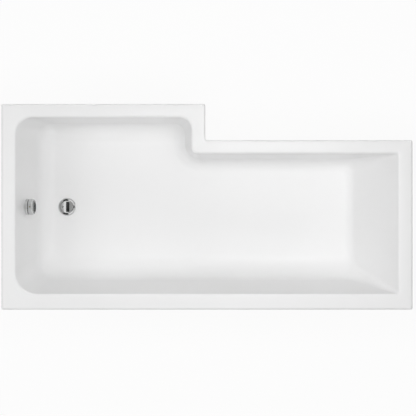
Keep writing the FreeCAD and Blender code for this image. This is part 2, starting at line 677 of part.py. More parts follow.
def make_centre_bracket():
    """Hat-section bracket that carries the centre leg under the baseboard."""
    label = "centre_bracket"
    body = new_body(label, f"placement(vector({CENTRE_X}; {CENTRE_Y}; {BOARD_UNDER});"
                           " rotation(vector(0; 0; 1); 0))")
    web = "(hat_web/2)"
    inside = "(hat_web/2 - rail_gauge)"
    tip = "(hat_web/2 + hat_flange)"
    section = new_sketch(body, "hat_section", "YZ_Plane", "-hat_length/2")
    draw_rounded_loop(section, [
        (f"-{tip}", "0", "sheet_edge"), (f"-{tip}", "-rail_gauge", "sheet_edge"),
        (f"-{web}", "-rail_gauge", INNER_BEND), (f"-{web}", "-hat_height", "rail_bend"),
        (web, "-hat_height", "rail_bend"), (web, "-rail_gauge", INNER_BEND),
        (tip, "-rail_gauge", "sheet_edge"), (tip, "0", "sheet_edge"),
        (inside, "0", "rail_bend"), (inside, "rail_gauge - hat_height", INNER_BEND),
        (f"-{inside}", "rail_gauge - hat_height", INNER_BEND), (f"-{inside}", "0", "rail_bend")])
    extrude(body, "Pad", "hat", section, "hat_length")
    cut_circle(body, "hat_stud_hole", "XY_Plane", ("0", "0"), "stud_radius + stud_clearance",
               "rail_gauge*2", lift="rail_gauge - hat_height")
    holes = new_sketch(body, "hat_screw_holes", "XY_Plane")
    for along in ("-hat_screw_pitch/2", "hat_screw_pitch/2"):
        for across in ("-(hat_web + hat_flange)/2", "(hat_web + hat_flange)/2"):
            draw_circle(holes, along, across, "screw_radius + screw_clearance")
    extrude(body, "Pocket", "hat_drilling", holes, "rail_gauge*2")
    sub_part(body, label)


def make_frame_screws():
    """Screws up through rails and bracket into the baseboard, one solid each."""
    body = new_body("frame_screws")
    sheet_under = f"({BOARD_UNDER} - rail_gauge)"
    heads = new_sketch(body, "screw_heads", "XY_Plane", f"{sheet_under} - screw_head_thick")
    shanks = new_sketch(body, "screw_shanks", "XY_Plane", f"{sheet_under} - screw_head_thick/2")
    for place in frame_screw_places():
        draw_circle(heads, *place, "screw_head_radius")
        draw_circle(shanks, *place, "screw_radius")
    extrude(body, "Pad", "heads", heads, "screw_head_thick")
    extrude(body, "Pad", "shanks", shanks, "screw_head_thick/2 + rail_gauge + screw_length")
    sub_part(body, "frame_screws")


def hexagon(across, along, flats):
    """Corners of a hexagon about a centre."""
    corners = []
    for step in range(6):
        angle = 60 * step
        reach = f"{flats}/sqrt(3)"
        corners.append((f"{across} + {reach}*cos({angle})", f"{along} + {reach}*sin({angle})"))
    return corners


def make_leg_fasteners():
    """Washers and lock nuts above and below each clamped sheet, one solid each."""
    washers = new_body("leg_washers")
    nuts = new_body("lock_nuts")
    for seat in (BOARD_UNDER, HAT_SEAT):
        legs = [leg for leg in LEGS if leg[3] == seat]
        under = f"({seat} - rail_gauge - washer_thick)"
        for washer_base, nut_base in ((seat, f"({seat} + washer_thick)"), (under, f"({under} - nut_height)")):
            washer_sketch = new_sketch(washers, "washer_outlines", "XY_Plane", washer_base)
            nut_sketch = new_sketch(nuts, "nut_outlines", "XY_Plane", nut_base)
            for _, across, along, _, _ in legs:
                draw_circle(washer_sketch, across, along, "washer_radius")
                draw_circle(washer_sketch, across, along, "stud_radius + stud_clearance")
                draw_loop(nut_sketch, hexagon(across, along, "nut_flats"))
                draw_circle(nut_sketch, across, along, "stud_radius + stud_clearance")
            extrude(washers, "Pad", "washers", washer_sketch, "washer_thick")
            extrude(nuts, "Pad", "nuts", nut_sketch, "nut_height")
    sub_part(washers, "leg_washers")
    sub_part(nuts, "lock_nuts")


def make_legs():
    """Five studs, each with its plastic foot."""
    for name, across, along, seat, spare in LEGS:
        place = f"placement(vector({across}; {along}; 0); rotation(vector(0; 0; 1); 0))"
        top = f"({seat} + washer_thick + nut_height + {spare})"
        stud = new_body(f"stud_{name}", place)
        tip = "(stud_radius - stud_chamfer)"
        turn(stud, f"stud_{name}_rod", [("0", "foot_sole"), (tip, "foot_sole"),
                                        ("stud_radius", "foot_sole + stud_chamfer"),
                                        ("stud_radius", f"{top} - stud_chamfer"), (tip, top), ("0", top)])
        sub_part(stud, f"stud_{name}")
        foot = new_body(f"foot_{name}", place)
        socket = "(stud_radius + stud_clearance)"
        turn(foot, f"foot_{name}_pad", [("0", "0"), ("foot_radius", "0"), ("foot_radius", "foot_rim/2"),
                                        ("foot_radius - foot_rim/2", "foot_rim"),
                                        ("foot_neck", "foot_rim + foot_neck/2"), ("foot_neck", "foot_height"),
                                        (socket, "foot_height"), (socket, "foot_sole"), ("0", "foot_sole")])
        sub_part(foot, f"foot_{name}")


FLANGE_UNDER = "upper_seal_thick"
PLUG_UNDER = "(upper_seal_thick + waste_seat + seat_gap + plug_seal_thick)"
BODY_TOP = "(-shell_wall - lower_seal_thick)"
CHAMBER_RADIUS = "(body_radius - body_wall)"
STEM_END = "(-stem_drop - adjuster_head_thick)"
ROCKER_PIVOT = f"({STEM_END} - seat_gap - rocker_tip + plug_lift/2)"


def make_waste():
    """Waste fitting: flange with stem guide, its two seals and the body under the floor."""
    flange = new_body("waste_flange", WASTE_PLACE)
    ridge = "(waste_flange_radius - waste_flange_ridge)"
    seat = f"({FLANGE_UNDER} + waste_seat)"
    turn(flange, "flange_dish", [
        ("spigot_bore", "-spigot_length"), ("spigot_radius", "-spigot_length"),
        ("spigot_radius", FLANGE_UNDER), ("waste_flange_radius", FLANGE_UNDER),
        ("waste_flange_radius", f"{FLANGE_UNDER} + waste_flange_edge"),
        (ridge, f"{FLANGE_UNDER} + waste_flange_thick"), ("plug_radius + waste_seat", seat),
        ("spigot_bore", seat)])
    pad_cross(flange, "guide_bars", "spigot_bore + guide_bar/4", "guide_bar", "guide_thick", "-guide_drop")
    pad_circle(flange, "guide_hub_boss", "XY_Plane", ("0", "0"), "guide_hub", "guide_thick",
               lift="-guide_drop")
    cut_circle(flange, "guide_bore", "XY_Plane", ("0", "0"), "stem_radius + run_clearance",
               "guide_thick*2", lift="guide_thick - guide_drop")
    sub_part(flange, "waste_flange")
    ring("waste_upper_seal", WASTE_PLACE, "waste_hole", "upper_seal_radius", "0", FLANGE_UNDER)
    ring("waste_lower_seal", WASTE_PLACE, "waste_hole", "lower_seal_radius", BODY_TOP, "-shell_wall")
    make_waste_body()


def make_waste_body():
    """Plastic body with threaded socket, chamber, outlet, pipe inlet and cable port."""
    body = new_body("waste_body", WASTE_PLACE)
    socket = "(spigot_radius + thread_clearance)"
    ledge = "(-spigot_length - body_wall/2)"
    turn(body, "body_cup", [
        (socket, BODY_TOP), (socket, ledge), (CHAMBER_RADIUS, ledge), (CHAMBER_RADIUS, "-chamber_drop"),
        ("outlet_bore", "-chamber_drop - chamber_cone"), ("outlet_bore", "-waste_drop"),
        ("outlet_radius", "-waste_drop"), ("outlet_radius", "-chamber_drop - chamber_cone"),
        ("body_radius", "-chamber_drop"), ("body_radius", f"{BODY_TOP} - body_flange_thick"),
        ("body_flange_radius", f"{BODY_TOP} - body_flange_thick"), ("body_flange_radius", BODY_TOP)])
    inlet = ("0", "-pipe_drop")
    inlet_end = "(-body_radius - pipe_spigot_length)"
    pad_circle(body, "pipe_inlet", "YZ_Plane", inlet, PIPE_SPIGOT,
               "pipe_spigot_length + body_wall/2", lift=inlet_end)
    cut_circle(body, "pipe_inlet_bore", "YZ_Plane", inlet, "pipe_spigot_bore",
               "pipe_spigot_length + body_wall*2", backwards=True, lift=inlet_end)
    reach = "(body_radius + port_length)"
    port = (f"placement(vector({reach}*sin(port_turn); -pipe_drop; -{reach}*cos(port_turn));"
            " rotation(vector(0; 1; 0); -port_turn))")
    pad_circle(body, "cable_port", "YZ_Plane", ("0", "0"), "port_radius", "port_length + body_wall/2",
               offset=port)
    cut_circle(body, "cable_port_bore", "YZ_Plane", ("0", "0"), "port_bore",
               "port_length + body_wall*2", backwards=True, offset=port)
    cut_circle(body, "rocker_pin_hole", "XZ_Plane", ("-rocker_arm", ROCKER_PIVOT), "rocker_pin_radius",
               "body_radius*2", backwards=True, lift="-body_radius")
    sub_part(body, "waste_body")


def make_plug():
    """Plug cap, seal, stem and adjuster, and the rocker with its pin that lifts them."""
    cap = new_body("plug_cap", WASTE_PLACE)
    brim = f"({PLUG_UNDER} + plug_edge)"
    dome = "((plug_radius^2 + plug_crown^2)/(2*plug_crown))"
    turn(cap, "cap_dome", [("0", PLUG_UNDER), ("plug_radius", PLUG_UNDER), ("plug_radius", brim, dome),
                           ("0", f"{brim} + plug_crown")])
    sub_part(cap, "plug_cap")
    ring("plug_seal", WASTE_PLACE, "plug_seal_radius - plug_seal_width", "plug_seal_radius",
         f"{PLUG_UNDER} - plug_seal_thick", PLUG_UNDER)
    stem = new_body("plug_stem", WASTE_PLACE)
    thread = "(adjuster_radius + screw_clearance)"
    socket = "(adjuster_length + seat_gap - stem_drop)"
    turn(stem, "stem_rod", [("0", socket), (thread, socket), (thread, "-stem_drop"),
                            ("stem_radius", "-stem_drop"), ("stem_radius", PLUG_UNDER), ("0", PLUG_UNDER)])
    sub_part(stem, "plug_stem")
    adjuster = new_body("stem_adjuster", WASTE_PLACE)
    turn(adjuster, "adjuster_screw", [
        ("0", STEM_END), ("adjuster_head_radius", STEM_END), ("adjuster_head_radius", "-stem_drop"),
        ("adjuster_radius", "-stem_drop"), ("adjuster_radius", "adjuster_length - stem_drop"),
        ("0", "adjuster_length - stem_drop")])
    sub_part(adjuster, "stem_adjuster")
    pivot = f"{WASTE_X} - rocker_arm; {WASTE_Y}; {FLOOR_TOP} + {ROCKER_PIVOT}"
    rocker = new_body("lift_rocker", f"placement(vector({pivot});"
                                     " rotation(vector(0; 1; 0); asin(plug_lift/(2*rocker_arm))))")
    half = "(-rocker_thick/2)"
    bar = new_sketch(rocker, "rocker_bar_outline", "XZ_Plane", half)
    draw_loop(bar, [("-rocker_tail", "-rocker_bar/2"), ("rocker_arm", "-rocker_bar/2"),
                    ("rocker_arm", "rocker_bar/2"), ("-rocker_tail", "rocker_bar/2")])
    extrude(rocker, "Pad", "rocker_lever", bar, "rocker_thick")
    rounds = (("hub", "0", "rocker_hub"), ("tip", "rocker_arm", "rocker_tip"),
              ("tail", "-rocker_tail", "rocker_tip"))
    for name, along, radius in rounds:
        pad_circle(rocker, f"rocker_{name}_round", "XZ_Plane", (along, "0"), radius, "rocker_thick",
                   lift=half)
    cut_circle(rocker, "rocker_bore", "XZ_Plane", ("0", "0"), "rocker_pin_radius + run_clearance",
               "rocker_thick", backwards=True, lift=half)
    sub_part(rocker, "lift_rocker")
    chord = "(2*sqrt(body_radius^2 - rocker_arm^2))"
    sub_part(cylinder("rocker_pin", "rocker_pin_radius", chord,
                      f"placement(vector({WASTE_X} - rocker_arm; {WASTE_Y} + {chord}/2;"
                      f" {FLOOR_TOP} + {ROCKER_PIVOT}); rotation(vector(1; 0; 0); 90))"), "rocker_pin")


GASKET_FRONT = "(-shell_wall - seat_gap)"
ELBOW_FRONT = f"({GASKET_FRONT} - gasket_thick)"
ELBOW_BORE = "(elbow_radius - elbow_wall)"
KNOB_BACK = "(overflow_flange_thick + knob_gap)"
KNOB_FRONT = f"({KNOB_BACK} + knob_depth)"
KNOB_INSIDE = f"({KNOB_FRONT} - knob_face)"
SPINDLE_BORE = "(spindle_radius + run_clearance)"
PORT_REACH = "(elbow_radius + port_length)"


def make_overflow():
    """Overflow flange with the spindle's front bearing, gasket and the elbow behind the wall."""
    flange = new_body("overflow_flange", OVERFLOW_PLACE)
    turn(flange, "overflow_ring", [
        ("overflow_bore", "-overflow_spigot_length"), ("overflow_spigot", "-overflow_spigot_length"),
        ("overflow_spigot", "seat_gap"), ("overflow_flange_radius", "seat_gap"),
        ("overflow_flange_radius", "overflow_flange_thick - overflow_bevel"),
        ("overflow_flange_radius - overflow_bevel", "overflow_flange_thick"),
        ("overflow_bore", "overflow_flange_thick")])
    pad_cross(flange, "bearing_bars", "overflow_bore + bearing_bar/4", "bearing_bar", "bearing_thick",
              "seat_gap")
    pad_circle(flange, "bearing_boss", "XY_Plane", ("0", "0"), "bearing_hub", "bearing_thick",
               lift="seat_gap")
    cut_circle(flange, "bearing_bore", "XY_Plane", ("0", "0"), SPINDLE_BORE, "bearing_thick*2",
               lift="seat_gap + bearing_thick")
    sub_part(flange, "overflow_flange")
    ring("overflow_gasket", OVERFLOW_PLACE, "overflow_hole", "gasket_radius", ELBOW_FRONT, GASKET_FRONT)
    make_elbow()


def make_elbow():
    """Elbow cup with the spindle's rear bearing, pipe outlet and cable port."""
    elbow = new_body("overflow_elbow", OVERFLOW_PLACE)
    neck = "(overflow_spigot + thread_clearance)"
    ledge = "(-overflow_spigot_length - elbow_wall/2)"
    floor = "(elbow_wall - elbow_depth)"
    turn(elbow, "elbow_cup", [
        (neck, ELBOW_FRONT), (neck, ledge), (ELBOW_BORE, ledge), (ELBOW_BORE, floor), ("bearing_hub", floor),
        ("bearing_hub", f"{floor} + bearing_thick"), (SPINDLE_BORE, f"{floor} + bearing_thick"),
        (SPINDLE_BORE, floor), ("0", floor), ("0", "-elbow_depth"), ("elbow_radius", "-elbow_depth"),
        ("elbow_radius", f"{ELBOW_FRONT} - elbow_flange_thick"),
        ("gasket_radius", f"{ELBOW_FRONT} - elbow_flange_thick"), ("gasket_radius", ELBOW_FRONT)])
    outlet = ("0", "-elbow_outlet_depth")
    outlet_end = "elbow_radius + pipe_spigot_length"
    pad_circle(elbow, "pipe_outlet", "YZ_Plane", outlet, PIPE_SPIGOT, "pipe_spigot_length + elbow_wall/2",
               backwards=True, lift=outlet_end)
    cut_circle(elbow, "pipe_outlet_bore", "YZ_Plane", outlet, "pipe_spigot_bore",
               "pipe_spigot_length + elbow_wall*2", lift=outlet_end)
    port = (f"placement(vector({PORT_REACH}*sin(port_turn); -elbow_outlet_depth;"
            f" {PORT_REACH}*cos(port_turn)); rotation(vector(0; 1; 0); port_turn))")
    pad_circle(elbow, "cable_outlet", "YZ_Plane", ("0", "0"), "port_radius", "port_length + elbow_wall/2",
               backwards=True, offset=port)
    cut_circle(elbow, "cable_outlet_bore", "YZ_Plane", ("0", "0"), "port_bore",
               "port_length + elbow_wall*2", offset=port)
    sub_part(elbow, "overflow_elbow")


def make_knob():
    """Turning knob, its grub screw and the spindle with the crank."""
    knob = new_body("overflow_knob", OVERFLOW_PLACE)
    bore = "(spindle_radius + run_clearance)"
    boss_end = f"({KNOB_BACK} + knob_face)"
    turn(knob, "knob_cap", [
        (bore, boss_end), ("knob_boss", boss_end), ("knob_boss", KNOB_INSIDE),
        ("knob_radius - knob_wall", KNOB_INSIDE), ("knob_radius - knob_wall", KNOB_BACK),
        ("knob_radius", KNOB_BACK), ("knob_radius", f"{KNOB_FRONT} - knob_round", "knob_round"),
        ("knob_radius - knob_round", KNOB_FRONT), ("0", KNOB_FRONT), ("0", KNOB_INSIDE), (bore, KNOB_INSIDE)])
    grub = ("0", f"{KNOB_BACK} + grub_from_back")
    cut_circle(knob, "grub_access_hole", "YZ_Plane", grub, "grub_access", "knob_wall*2",
               backwards=True, lift="-knob_radius")
    cut_circle(knob, "grub_thread", "YZ_Plane", grub, "grub_radius + screw_clearance", "knob_boss",
               backwards=True, lift="-knob_boss")
    sub_part(knob, "overflow_knob")
    screw = new_body("knob_grub_screw", OVERFLOW_PLACE)
    pad_circle(screw, "grub_rod", "YZ_Plane", grub, "grub_radius", "knob_boss - spindle_radius",
               lift="-knob_boss")
    socket = new_sketch(screw, "grub_socket_outline", "YZ_Plane", "-knob_boss")
    draw_loop(socket, hexagon(*grub, "grub_socket"))
    extrude(screw, "Pocket", "grub_socket_cut", socket, "grub_radius", backwards=True)
    sub_part(screw, "knob_grub_screw")
    spindle = new_body("knob_spindle", OVERFLOW_PLACE)
    rear = "(elbow_wall - elbow_depth + seat_gap)"
    front = f"({KNOB_INSIDE} - seat_gap)"
    turn(spindle, "spindle_rod", [("0", rear), ("spindle_radius", rear), ("spindle_radius", front),
                                  ("0", front)])
    arm_base = "(-elbow_outlet_depth)"
    arm = new_sketch(spindle, "crank_outline", "XY_Plane", arm_base)
    draw_loop(arm, [("-crank_arm", "-crank_width/2"), ("0", "-crank_width/2"), ("0", "crank_width/2"),
                    ("-crank_arm", "crank_width/2")])
    extrude(spindle, "Pad", "crank", arm, "crank_thick")
    pad_circle(spindle, "crank_end", "XY_Plane", ("-crank_arm", "0"), "crank_width/2", "crank_thick",
               lift=arm_base)
    pad_circle(spindle, "crank_pin", "XY_Plane", ("-crank_arm", "0"), "crank_pin_radius",
               "crank_thick + crank_pin_length", lift=arm_base)
    sub_part(spindle, "knob_spindle")


# In the upper pipe joint's own frame +Z points down the wall and +X away from the bath.
UPPER_JOINT_PLACE = (f"placement(vector({OVERFLOW_X} + elbow_radius*sin({END_WALL_LEAN})"
                     f" - elbow_outlet_depth*cos({END_WALL_LEAN}); {WASTE_Y}; {OVERFLOW_Z}"
                     f" - elbow_radius*cos({END_WALL_LEAN}) - elbow_outlet_depth*sin({END_WALL_LEAN}));"
                     f" rotation(vector(0; 1; 0); 180deg - {END_WALL_LEAN}))")
LOWER_JOINT_PLACE = (f"placement(vector({WASTE_X} - body_radius; {WASTE_Y}; {FLOOR_TOP} - pipe_drop);"
                     " rotation(vector(0; 1; 0); -90))")


def make_pipe():
    """Overflow pipe: down along the end wall, then round a bend and level into the waste body."""
    pipe = new_body("overflow_pipe", UPPER_JOINT_PLACE)
    section = new_sketch(pipe, "pipe_section", "XY_Plane", "seat_gap")
    draw_circle(section, "0", "0", "pipe_radius")
    draw_circle(section, "0", "0", "pipe_bore")
    lean = f"({END_WALL_LEAN})"
    fall = (f"({OVERFLOW_Z} - elbow_radius*cos({lean}) - elbow_outlet_depth*sin({lean}) - {FLOOR_TOP}"
            " + pipe_drop)")
    reach = (f"({WASTE_X} - body_radius - seat_gap - {OVERFLOW_X} - elbow_radius*sin({lean})"
             f" + elbow_outlet_depth*cos({lean}))")
    corner = f"({fall}/cos({lean}))"
    level_run = f"({reach} - {fall}*tan({lean}))"
    bend = f"(pipe_bend*tan(45deg - {lean}/2))"
    points = [("0", "seat_gap"), ("0", f"{corner} - {bend}"),
              (f"-{bend}*cos({lean})", f"{corner} + {bend}*sin({lean})"),
              (f"-{level_run}*cos({lean})", f"{corner} + {level_run}*sin({lean})")]
    path = new_sketch(pipe, "pipe_path", "XZ_Plane")
    draw_bent_path(path, points, "pipe_bend")
    document.recompute()
    sweep = pipe.newObject("PartDesign::AdditivePipe", "pipe_sweep")
    sweep.Profile = section
    sweep.Spine = (path, ["Edge1", "Edge2", "Edge3"])
    sub_part(pipe, "overflow_pipe")


def draw_bent_path(sketch, points, radius):
    """Line, left-hand tangent arc and line through four points given as formulas."""
    places = [Vector(size(across), size(along), 0) for across, along in points]
    down = sketch.addGeometry(Part.LineSegment(places[0], places[1]), False)
    arc = sketch.addGeometry(arc_between(places[1], places[2], size(radius)), False)
    level = sketch.addGeometry(Part.LineSegment(places[2], places[3]), False)
    sketch.addConstraint(Sketcher.Constraint("Coincident", down, 2, arc, 1))
    sketch.addConstraint(Sketcher.Constraint("Coincident", arc, 2, level, 1))
    for edge, end, place in ((down, 1, 0), (down, 2, 1), (level, 1, 2), (level, 2, 3)):
        hold(sketch, "DistanceX", (-1, 1, edge, end), points[place][0])
        hold(sketch, "DistanceY", (-1, 1, edge, end), points[place][1])
    hold(sketch, "Radius", (arc,), radius)


def make_pipe_nut(label, place):
    """Pipe nut with finger grooves round it, its own Z along the pipe."""
    nut = new_body(label, place)
    inner = "(pipe_radius + run_clearance)"
    low, high = "seat_gap*2", "seat_gap*2 + pipe_nut_length"
    turn(nut, f"{label}_ring", [(inner, low), ("pipe_nut_radius", low), ("pipe_nut_radius", high),
                                (inner, high)])
    groove = cut_circle(nut, f"{label}_groove", "XY_Plane", ("pipe_nut_radius", "0"), "pipe_nut_grip",
                        "pipe_nut_length*2", backwards=True)
    document.recompute()
    pattern = nut.newObject("PartDesign::PolarPattern", f"{label}_grooves")
    pattern.Originals = [groove]
    pattern.Axis = (groove.Profile[0], ["N_Axis"])
    pattern.Angle = 360
    pattern.Occurrences = GROOVE_COUNT
    nut.Tip = pattern
    sub_part(nut, label)


def check_and_write():
    """Refuse a failed or invalid object, then write each sub-part."""
    document.recompute()
    for thing in document.Objects:
        if "Invalid" in thing.State or "Error" in thing.State:
            raise RuntimeError(f"{thing.Label} failed: {thing.State}")
    for thing in SUB_PARTS:
        if thing.Shape.isNull() or not thing.Shape.isValid() or not thing.Shape.Solids:
            raise RuntimeError(f"{thing.Label} has no valid solid")
    os.makedirs("parts", exist_ok=True)
    for thing in SUB_PARTS:
        thing.Shape.exportStep(f"parts/{thing.Label}.step")
    print(f"wrote {len(SUB_PARTS)} sub-parts")


make_shell()
make_baseboard()
make_battens()
make_rail("shower_rail", SHOWER_RAIL_X, LEG_FRONT)
make_rail("slope_rail", SLOPE_RAIL_X, LEG_NARROW)
make_centre_bracket()
make_frame_screws()
make_leg_fasteners()
make_legs()
make_waste()
make_plug()
make_overflow()
make_knob()
make_pipe()
make_pipe_nut("pipe_nut_upper", UPPER_JOINT_PLACE)
make_pipe_nut("pipe_nut_lower", LOWER_JOINT_PLACE)
check_and_write()
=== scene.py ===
import functools
import json
import math

import bmesh
import bpy
from bpy.props import FloatProperty, FloatVectorProperty, IntProperty, PointerProperty
from mathutils import Matrix, Vector, noise


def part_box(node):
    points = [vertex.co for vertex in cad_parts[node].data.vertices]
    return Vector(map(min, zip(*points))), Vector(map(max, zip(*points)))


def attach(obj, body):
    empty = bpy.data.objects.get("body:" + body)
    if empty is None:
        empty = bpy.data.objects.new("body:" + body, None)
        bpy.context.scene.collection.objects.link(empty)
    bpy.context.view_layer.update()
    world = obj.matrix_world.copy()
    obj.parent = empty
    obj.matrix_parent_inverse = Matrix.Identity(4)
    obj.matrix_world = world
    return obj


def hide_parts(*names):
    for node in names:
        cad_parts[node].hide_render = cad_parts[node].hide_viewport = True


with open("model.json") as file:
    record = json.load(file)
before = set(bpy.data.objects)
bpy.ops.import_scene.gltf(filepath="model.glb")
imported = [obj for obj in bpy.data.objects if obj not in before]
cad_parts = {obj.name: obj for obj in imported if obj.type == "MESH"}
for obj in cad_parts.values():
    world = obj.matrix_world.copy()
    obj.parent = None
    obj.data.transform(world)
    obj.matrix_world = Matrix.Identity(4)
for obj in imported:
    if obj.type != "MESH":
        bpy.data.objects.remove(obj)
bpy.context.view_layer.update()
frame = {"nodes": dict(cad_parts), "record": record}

bl_info = {
    "name": "L-shaped shower bath",
    "version": (1, 0, 0),
    "blender": (4, 5, 0),
    "location": "3D View > Sidebar > Shower Bath",
    "description": "Builds the shell, leg set and pop-up waste of an L-shaped acrylic shower bath",
    "category": "Add Mesh",
}

LEGS = ("shower_back", "shower_front", "slope_back", "slope_front", "centre")
WALLS = ("left", "right", "back", "front", "narrow", "step")
INWARD = {"left": 1, "right": -1, "back": 1, "front": -1, "narrow": -1, "step": -1}
# Each corner of the plan, counter-clockwise: the wall across X, the wall across Y, and its arc's first angle
# and turn in degrees.
CORNERS = (
    ("left", "back", 180, 90), ("right", "back", 270, 90), ("right", "narrow", 0, 90),
    ("step", "narrow", 270, -90), ("step", "front", 0, 90), ("left", "front", 90, 90),
)
# Points along the side that follows each corner, and steps round each corner.
SIDE_POINTS = (60, 20, 28, 6, 26, 30)
ARC_POINTS = 9
# Steps down the skin of the well: on the lip, over the rollover, down the flat wall and round the sweep.
LIP_STEPS = 4
ROLL_STEPS = 6
WALL_STEPS = 14
SWEEP_STEPS = 18
# Height over the floor that holds every sweep, and the share of it at the top that is spaced as flat wall.
SWEEP_ZONE = 0.120
FLAT_SHARE = 0.15
LEAST_RIM_CORNER = 0.0006
# Gap between the acrylic sheet and its coat, and how far the tools that cut the openings reach each way.
HAIRLINE = 0.00002
OPENING_REACH = 0.03
# Unevenness of the rolled coat: its middle level, then the scale and share of each wave.
COAT_LEVEL = 0.5
COAT_WAVES = ((38, 0.4), (110, 0.3))

# Steps of small roundings and domes, and sides of round pieces.
EDGE_STEPS = 5
EDGE_SEGMENTS = 2
DOME_STEPS = 12
LATHE_SIDES = 96
SMOOTH_ANGLE = math.radians(35)
# Points nearer than WELD become one, and so do those of a CAD node that are nearer than JOIN. A radius under
# ON_AXIS is a point on the axis. STEP keeps faces that meet in a boolean out of one plane.
WELD = 1e-5
JOIN = 1e-6
ON_AXIS = 1e-7
STEP = 0.0002
FLAT_ANGLE = math.radians(0.4)
# Edge roundings of the pieces that follow their CAD node.
FINE_EDGE = 0.0003
ROCKER_EDGE = 0.0004
MOULDED_EDGE = 0.0006
BOARD_EDGE = 0.0008
TIMBER_EDGE = 0.0015
# Shares of the pitch at which a thread's crest ends and its root starts.
CREST_END = 0.07
ROOT_START = 0.42

# Turned pieces: radius, height and rounding of each corner of the profile.
WASTE_FLANGE = (
    (0.020, -0.028, 0.0003), (0.0239, -0.028, 0.0006), (0.0239, 0.0015, 0.0003), (0.038, 0.0015, 0.0003),
    (0.038, 0.0021, 0.0003), (0.0342, 0.0045, 0.0012), (0.0272, 0.0027, 0.0008), (0.020, 0.0027, 0.0006),
)
OVERFLOW_FLANGE = (
    (0.020, -0.018, 0.0003), (0.0225, -0.018, 0.0005), (0.0225, 0.0003, 0.0003), (0.034, 0.0003, 0.0003),
    (0.034, 0.009, 0.0012), (0.032, 0.011, 0.0012), (0.020, 0.011, 0.0006),
)
FOOT = (
    (0, 0, 0), (0.030, 0, 0.0008), (0.030, 0.0035, 0.001), (0.0265, 0.007, 0.002), (0.012, 0.013, 0.004),
    (0.012, 0.030, 0.001), (0.0061, 0.030, 0.0006), (0.0061, 0.006, 0.0003), (0, 0.006, 0),
)
WASHER = (
    (0.0061, -0.00125, 0.0003), (0.012, -0.00125, 0.0004),
    (0.012, 0.00125, 0.0006), (0.0061, 0.00125, 0.0004),
)
SCREW = (
    (0, -0.0085, 0), (0.0036, -0.0085, 0.0014), (0.0045, -0.0061, 0.0006), (0.0045, -0.0055, 0.0002),
    (0.00225, -0.0055, 0.0003), (0.00225, 0.0045, 0.001), (0, 0.0085, 0),
)

# Finish of each material: spread of its tint, scale of its clouds, least and most roughness, scale of its
# grain, strength and depth of its relief, and dust.
FINISHES = {
    "acrylic": (0.004, 1.5, (0.30, 0.38), 30, (0.003, 0.0006), 0.0),
    "glass_fibre_coat": (0.12, 9, (0.35, 0.6), 300, (0.6, 0.0008), 0.0),
    "chrome": (0.02, 40, (0.05, 0.11), 900, (0.01, 0.0002), 0.0),
    # The inside of the knob: near black as painted shade in the grub hole, darker than bare cast metal.
    "cast_metal": (0.2, 60, (0.6, 0.8), 900, (0.1, 0.0002), 0.0),
    "zinc_fasteners": (0.18, 120, (0.28, 0.48), 1500, (0.08, 0.0002), 0.25),
    "galvanised": (0.12, 14, (0.32, 0.52), 700, (0.06, 0.0002), 0.35),
    "brass": (0.15, 90, (0.2, 0.4), 1500, (0.05, 0.0002), 0.0),
    "pin_steel": (0.1, 150, (0.22, 0.36), 1500, (0.05, 0.0002), 0.0),
    "chipboard": (0.15, 12, (0.75, 0.95), 500, (0.35, 0.0005), 0.2),
    "timber": (0.15, 5, (0.6, 0.85), 400, (0.3, 0.0005), 0.2),
    "seal_rubber": (0.3, 90, (0.6, 0.85), 1200, (0.15, 0.0002), 0.0),
    "foot_plastic": (0.25, 60, (0.45, 0.65), 1600, (0.2, 0.0002), 0.3),
    "white_plastic": (0.03, 30, (0.32, 0.48), 1400, (0.06, 0.0002), 0.15),
    "acetal": (0.05, 60, (0.3, 0.45), 1400, (0.06, 0.0002), 0.0),
}
CARD_FINISH = (0.2, 3, (0.6, 0.8), 200, (0.05, 0.0005), 0.0)
METALS = ("chrome", "zinc_fasteners", "galvanised", "brass", "pin_steel")
# Inputs of the surface that are the same all over.
PLAIN_INPUTS = {
    "acrylic": {"Specular_IOR_Level": 0.3, "IOR": 1.49, "Coat_Weight": 0.3, "Coat_Roughness": 0.1},
    **{name: {"Metallic": 1.0} for name in METALS},
}
DUST_TINT = (0.55, 0.52, 0.48, 1)
FLOOR_TINTS = ((0.86, 0.86, 0.86, 1), (0.88, 0.88, 0.88, 1))
WHITE = (1, 1, 1, 1)
# How the bundles of chopped strands lie, as turns about each axis.
STRAND_TURNS = ((0.4, 0.3, 0.0), (0.2, 1.1, 0.9), (1.2, 2.4, 2.0), (0.7, 1.7, 2.8))

# Lamps of the stage: place, aim, sides in metres, power in watts, and whether only the gloss shows it.
LAMPS = {
    "top_light": ((0.25, -0.1, 3.6), (0.25, -0.1, 0.0), (1.6, 1.6), 51.5, False),
    "end_light": ((-2.4, -0.3, 2.9), (0.3, 0.0, 0.3), (1.0, 1.0), 17, False),
    "front_light": ((0.2, 2.6, 2.4), (0.1, -0.2, 0.3), (1.0, 1.0), 6, False),
    "front_strip": ((0.1, 2.6, 1.1), (0.1, 0.0, 0.5), (3.4, 0.3), 60, True),
    "soft_box": ((0.05, 0.4, 2.2), (0.05, 0.4, 0.0), (1.2, 0.5), 4, True),
}
# Cards over the waste that only the gloss shows: place, sides in metres, and how light they are.
CARDS = {
    "dark_card": ((-0.60, 0.0, 1.2), (0.38, 1.25), 0.03),
    "grey_card": ((-0.18, 0.0, 1.2), (0.46, 1.25), 0.6),
}


def length(name, description, default):
    return FloatProperty(name=name, description=description, default=default, unit="LENGTH", precision=4)


def lengths(name, description, default):
    return FloatVectorProperty(name=name, description=description, size=6, default=default, unit="LENGTH")


def whole_number(name, description, default, least):
    return IntProperty(name=name, description=description, default=default, min=least)


def colour(name, description, default):
    return FloatVectorProperty(name=name, description=description, size=3, default=default, subtype="COLOR",
                               min=0, max=1)


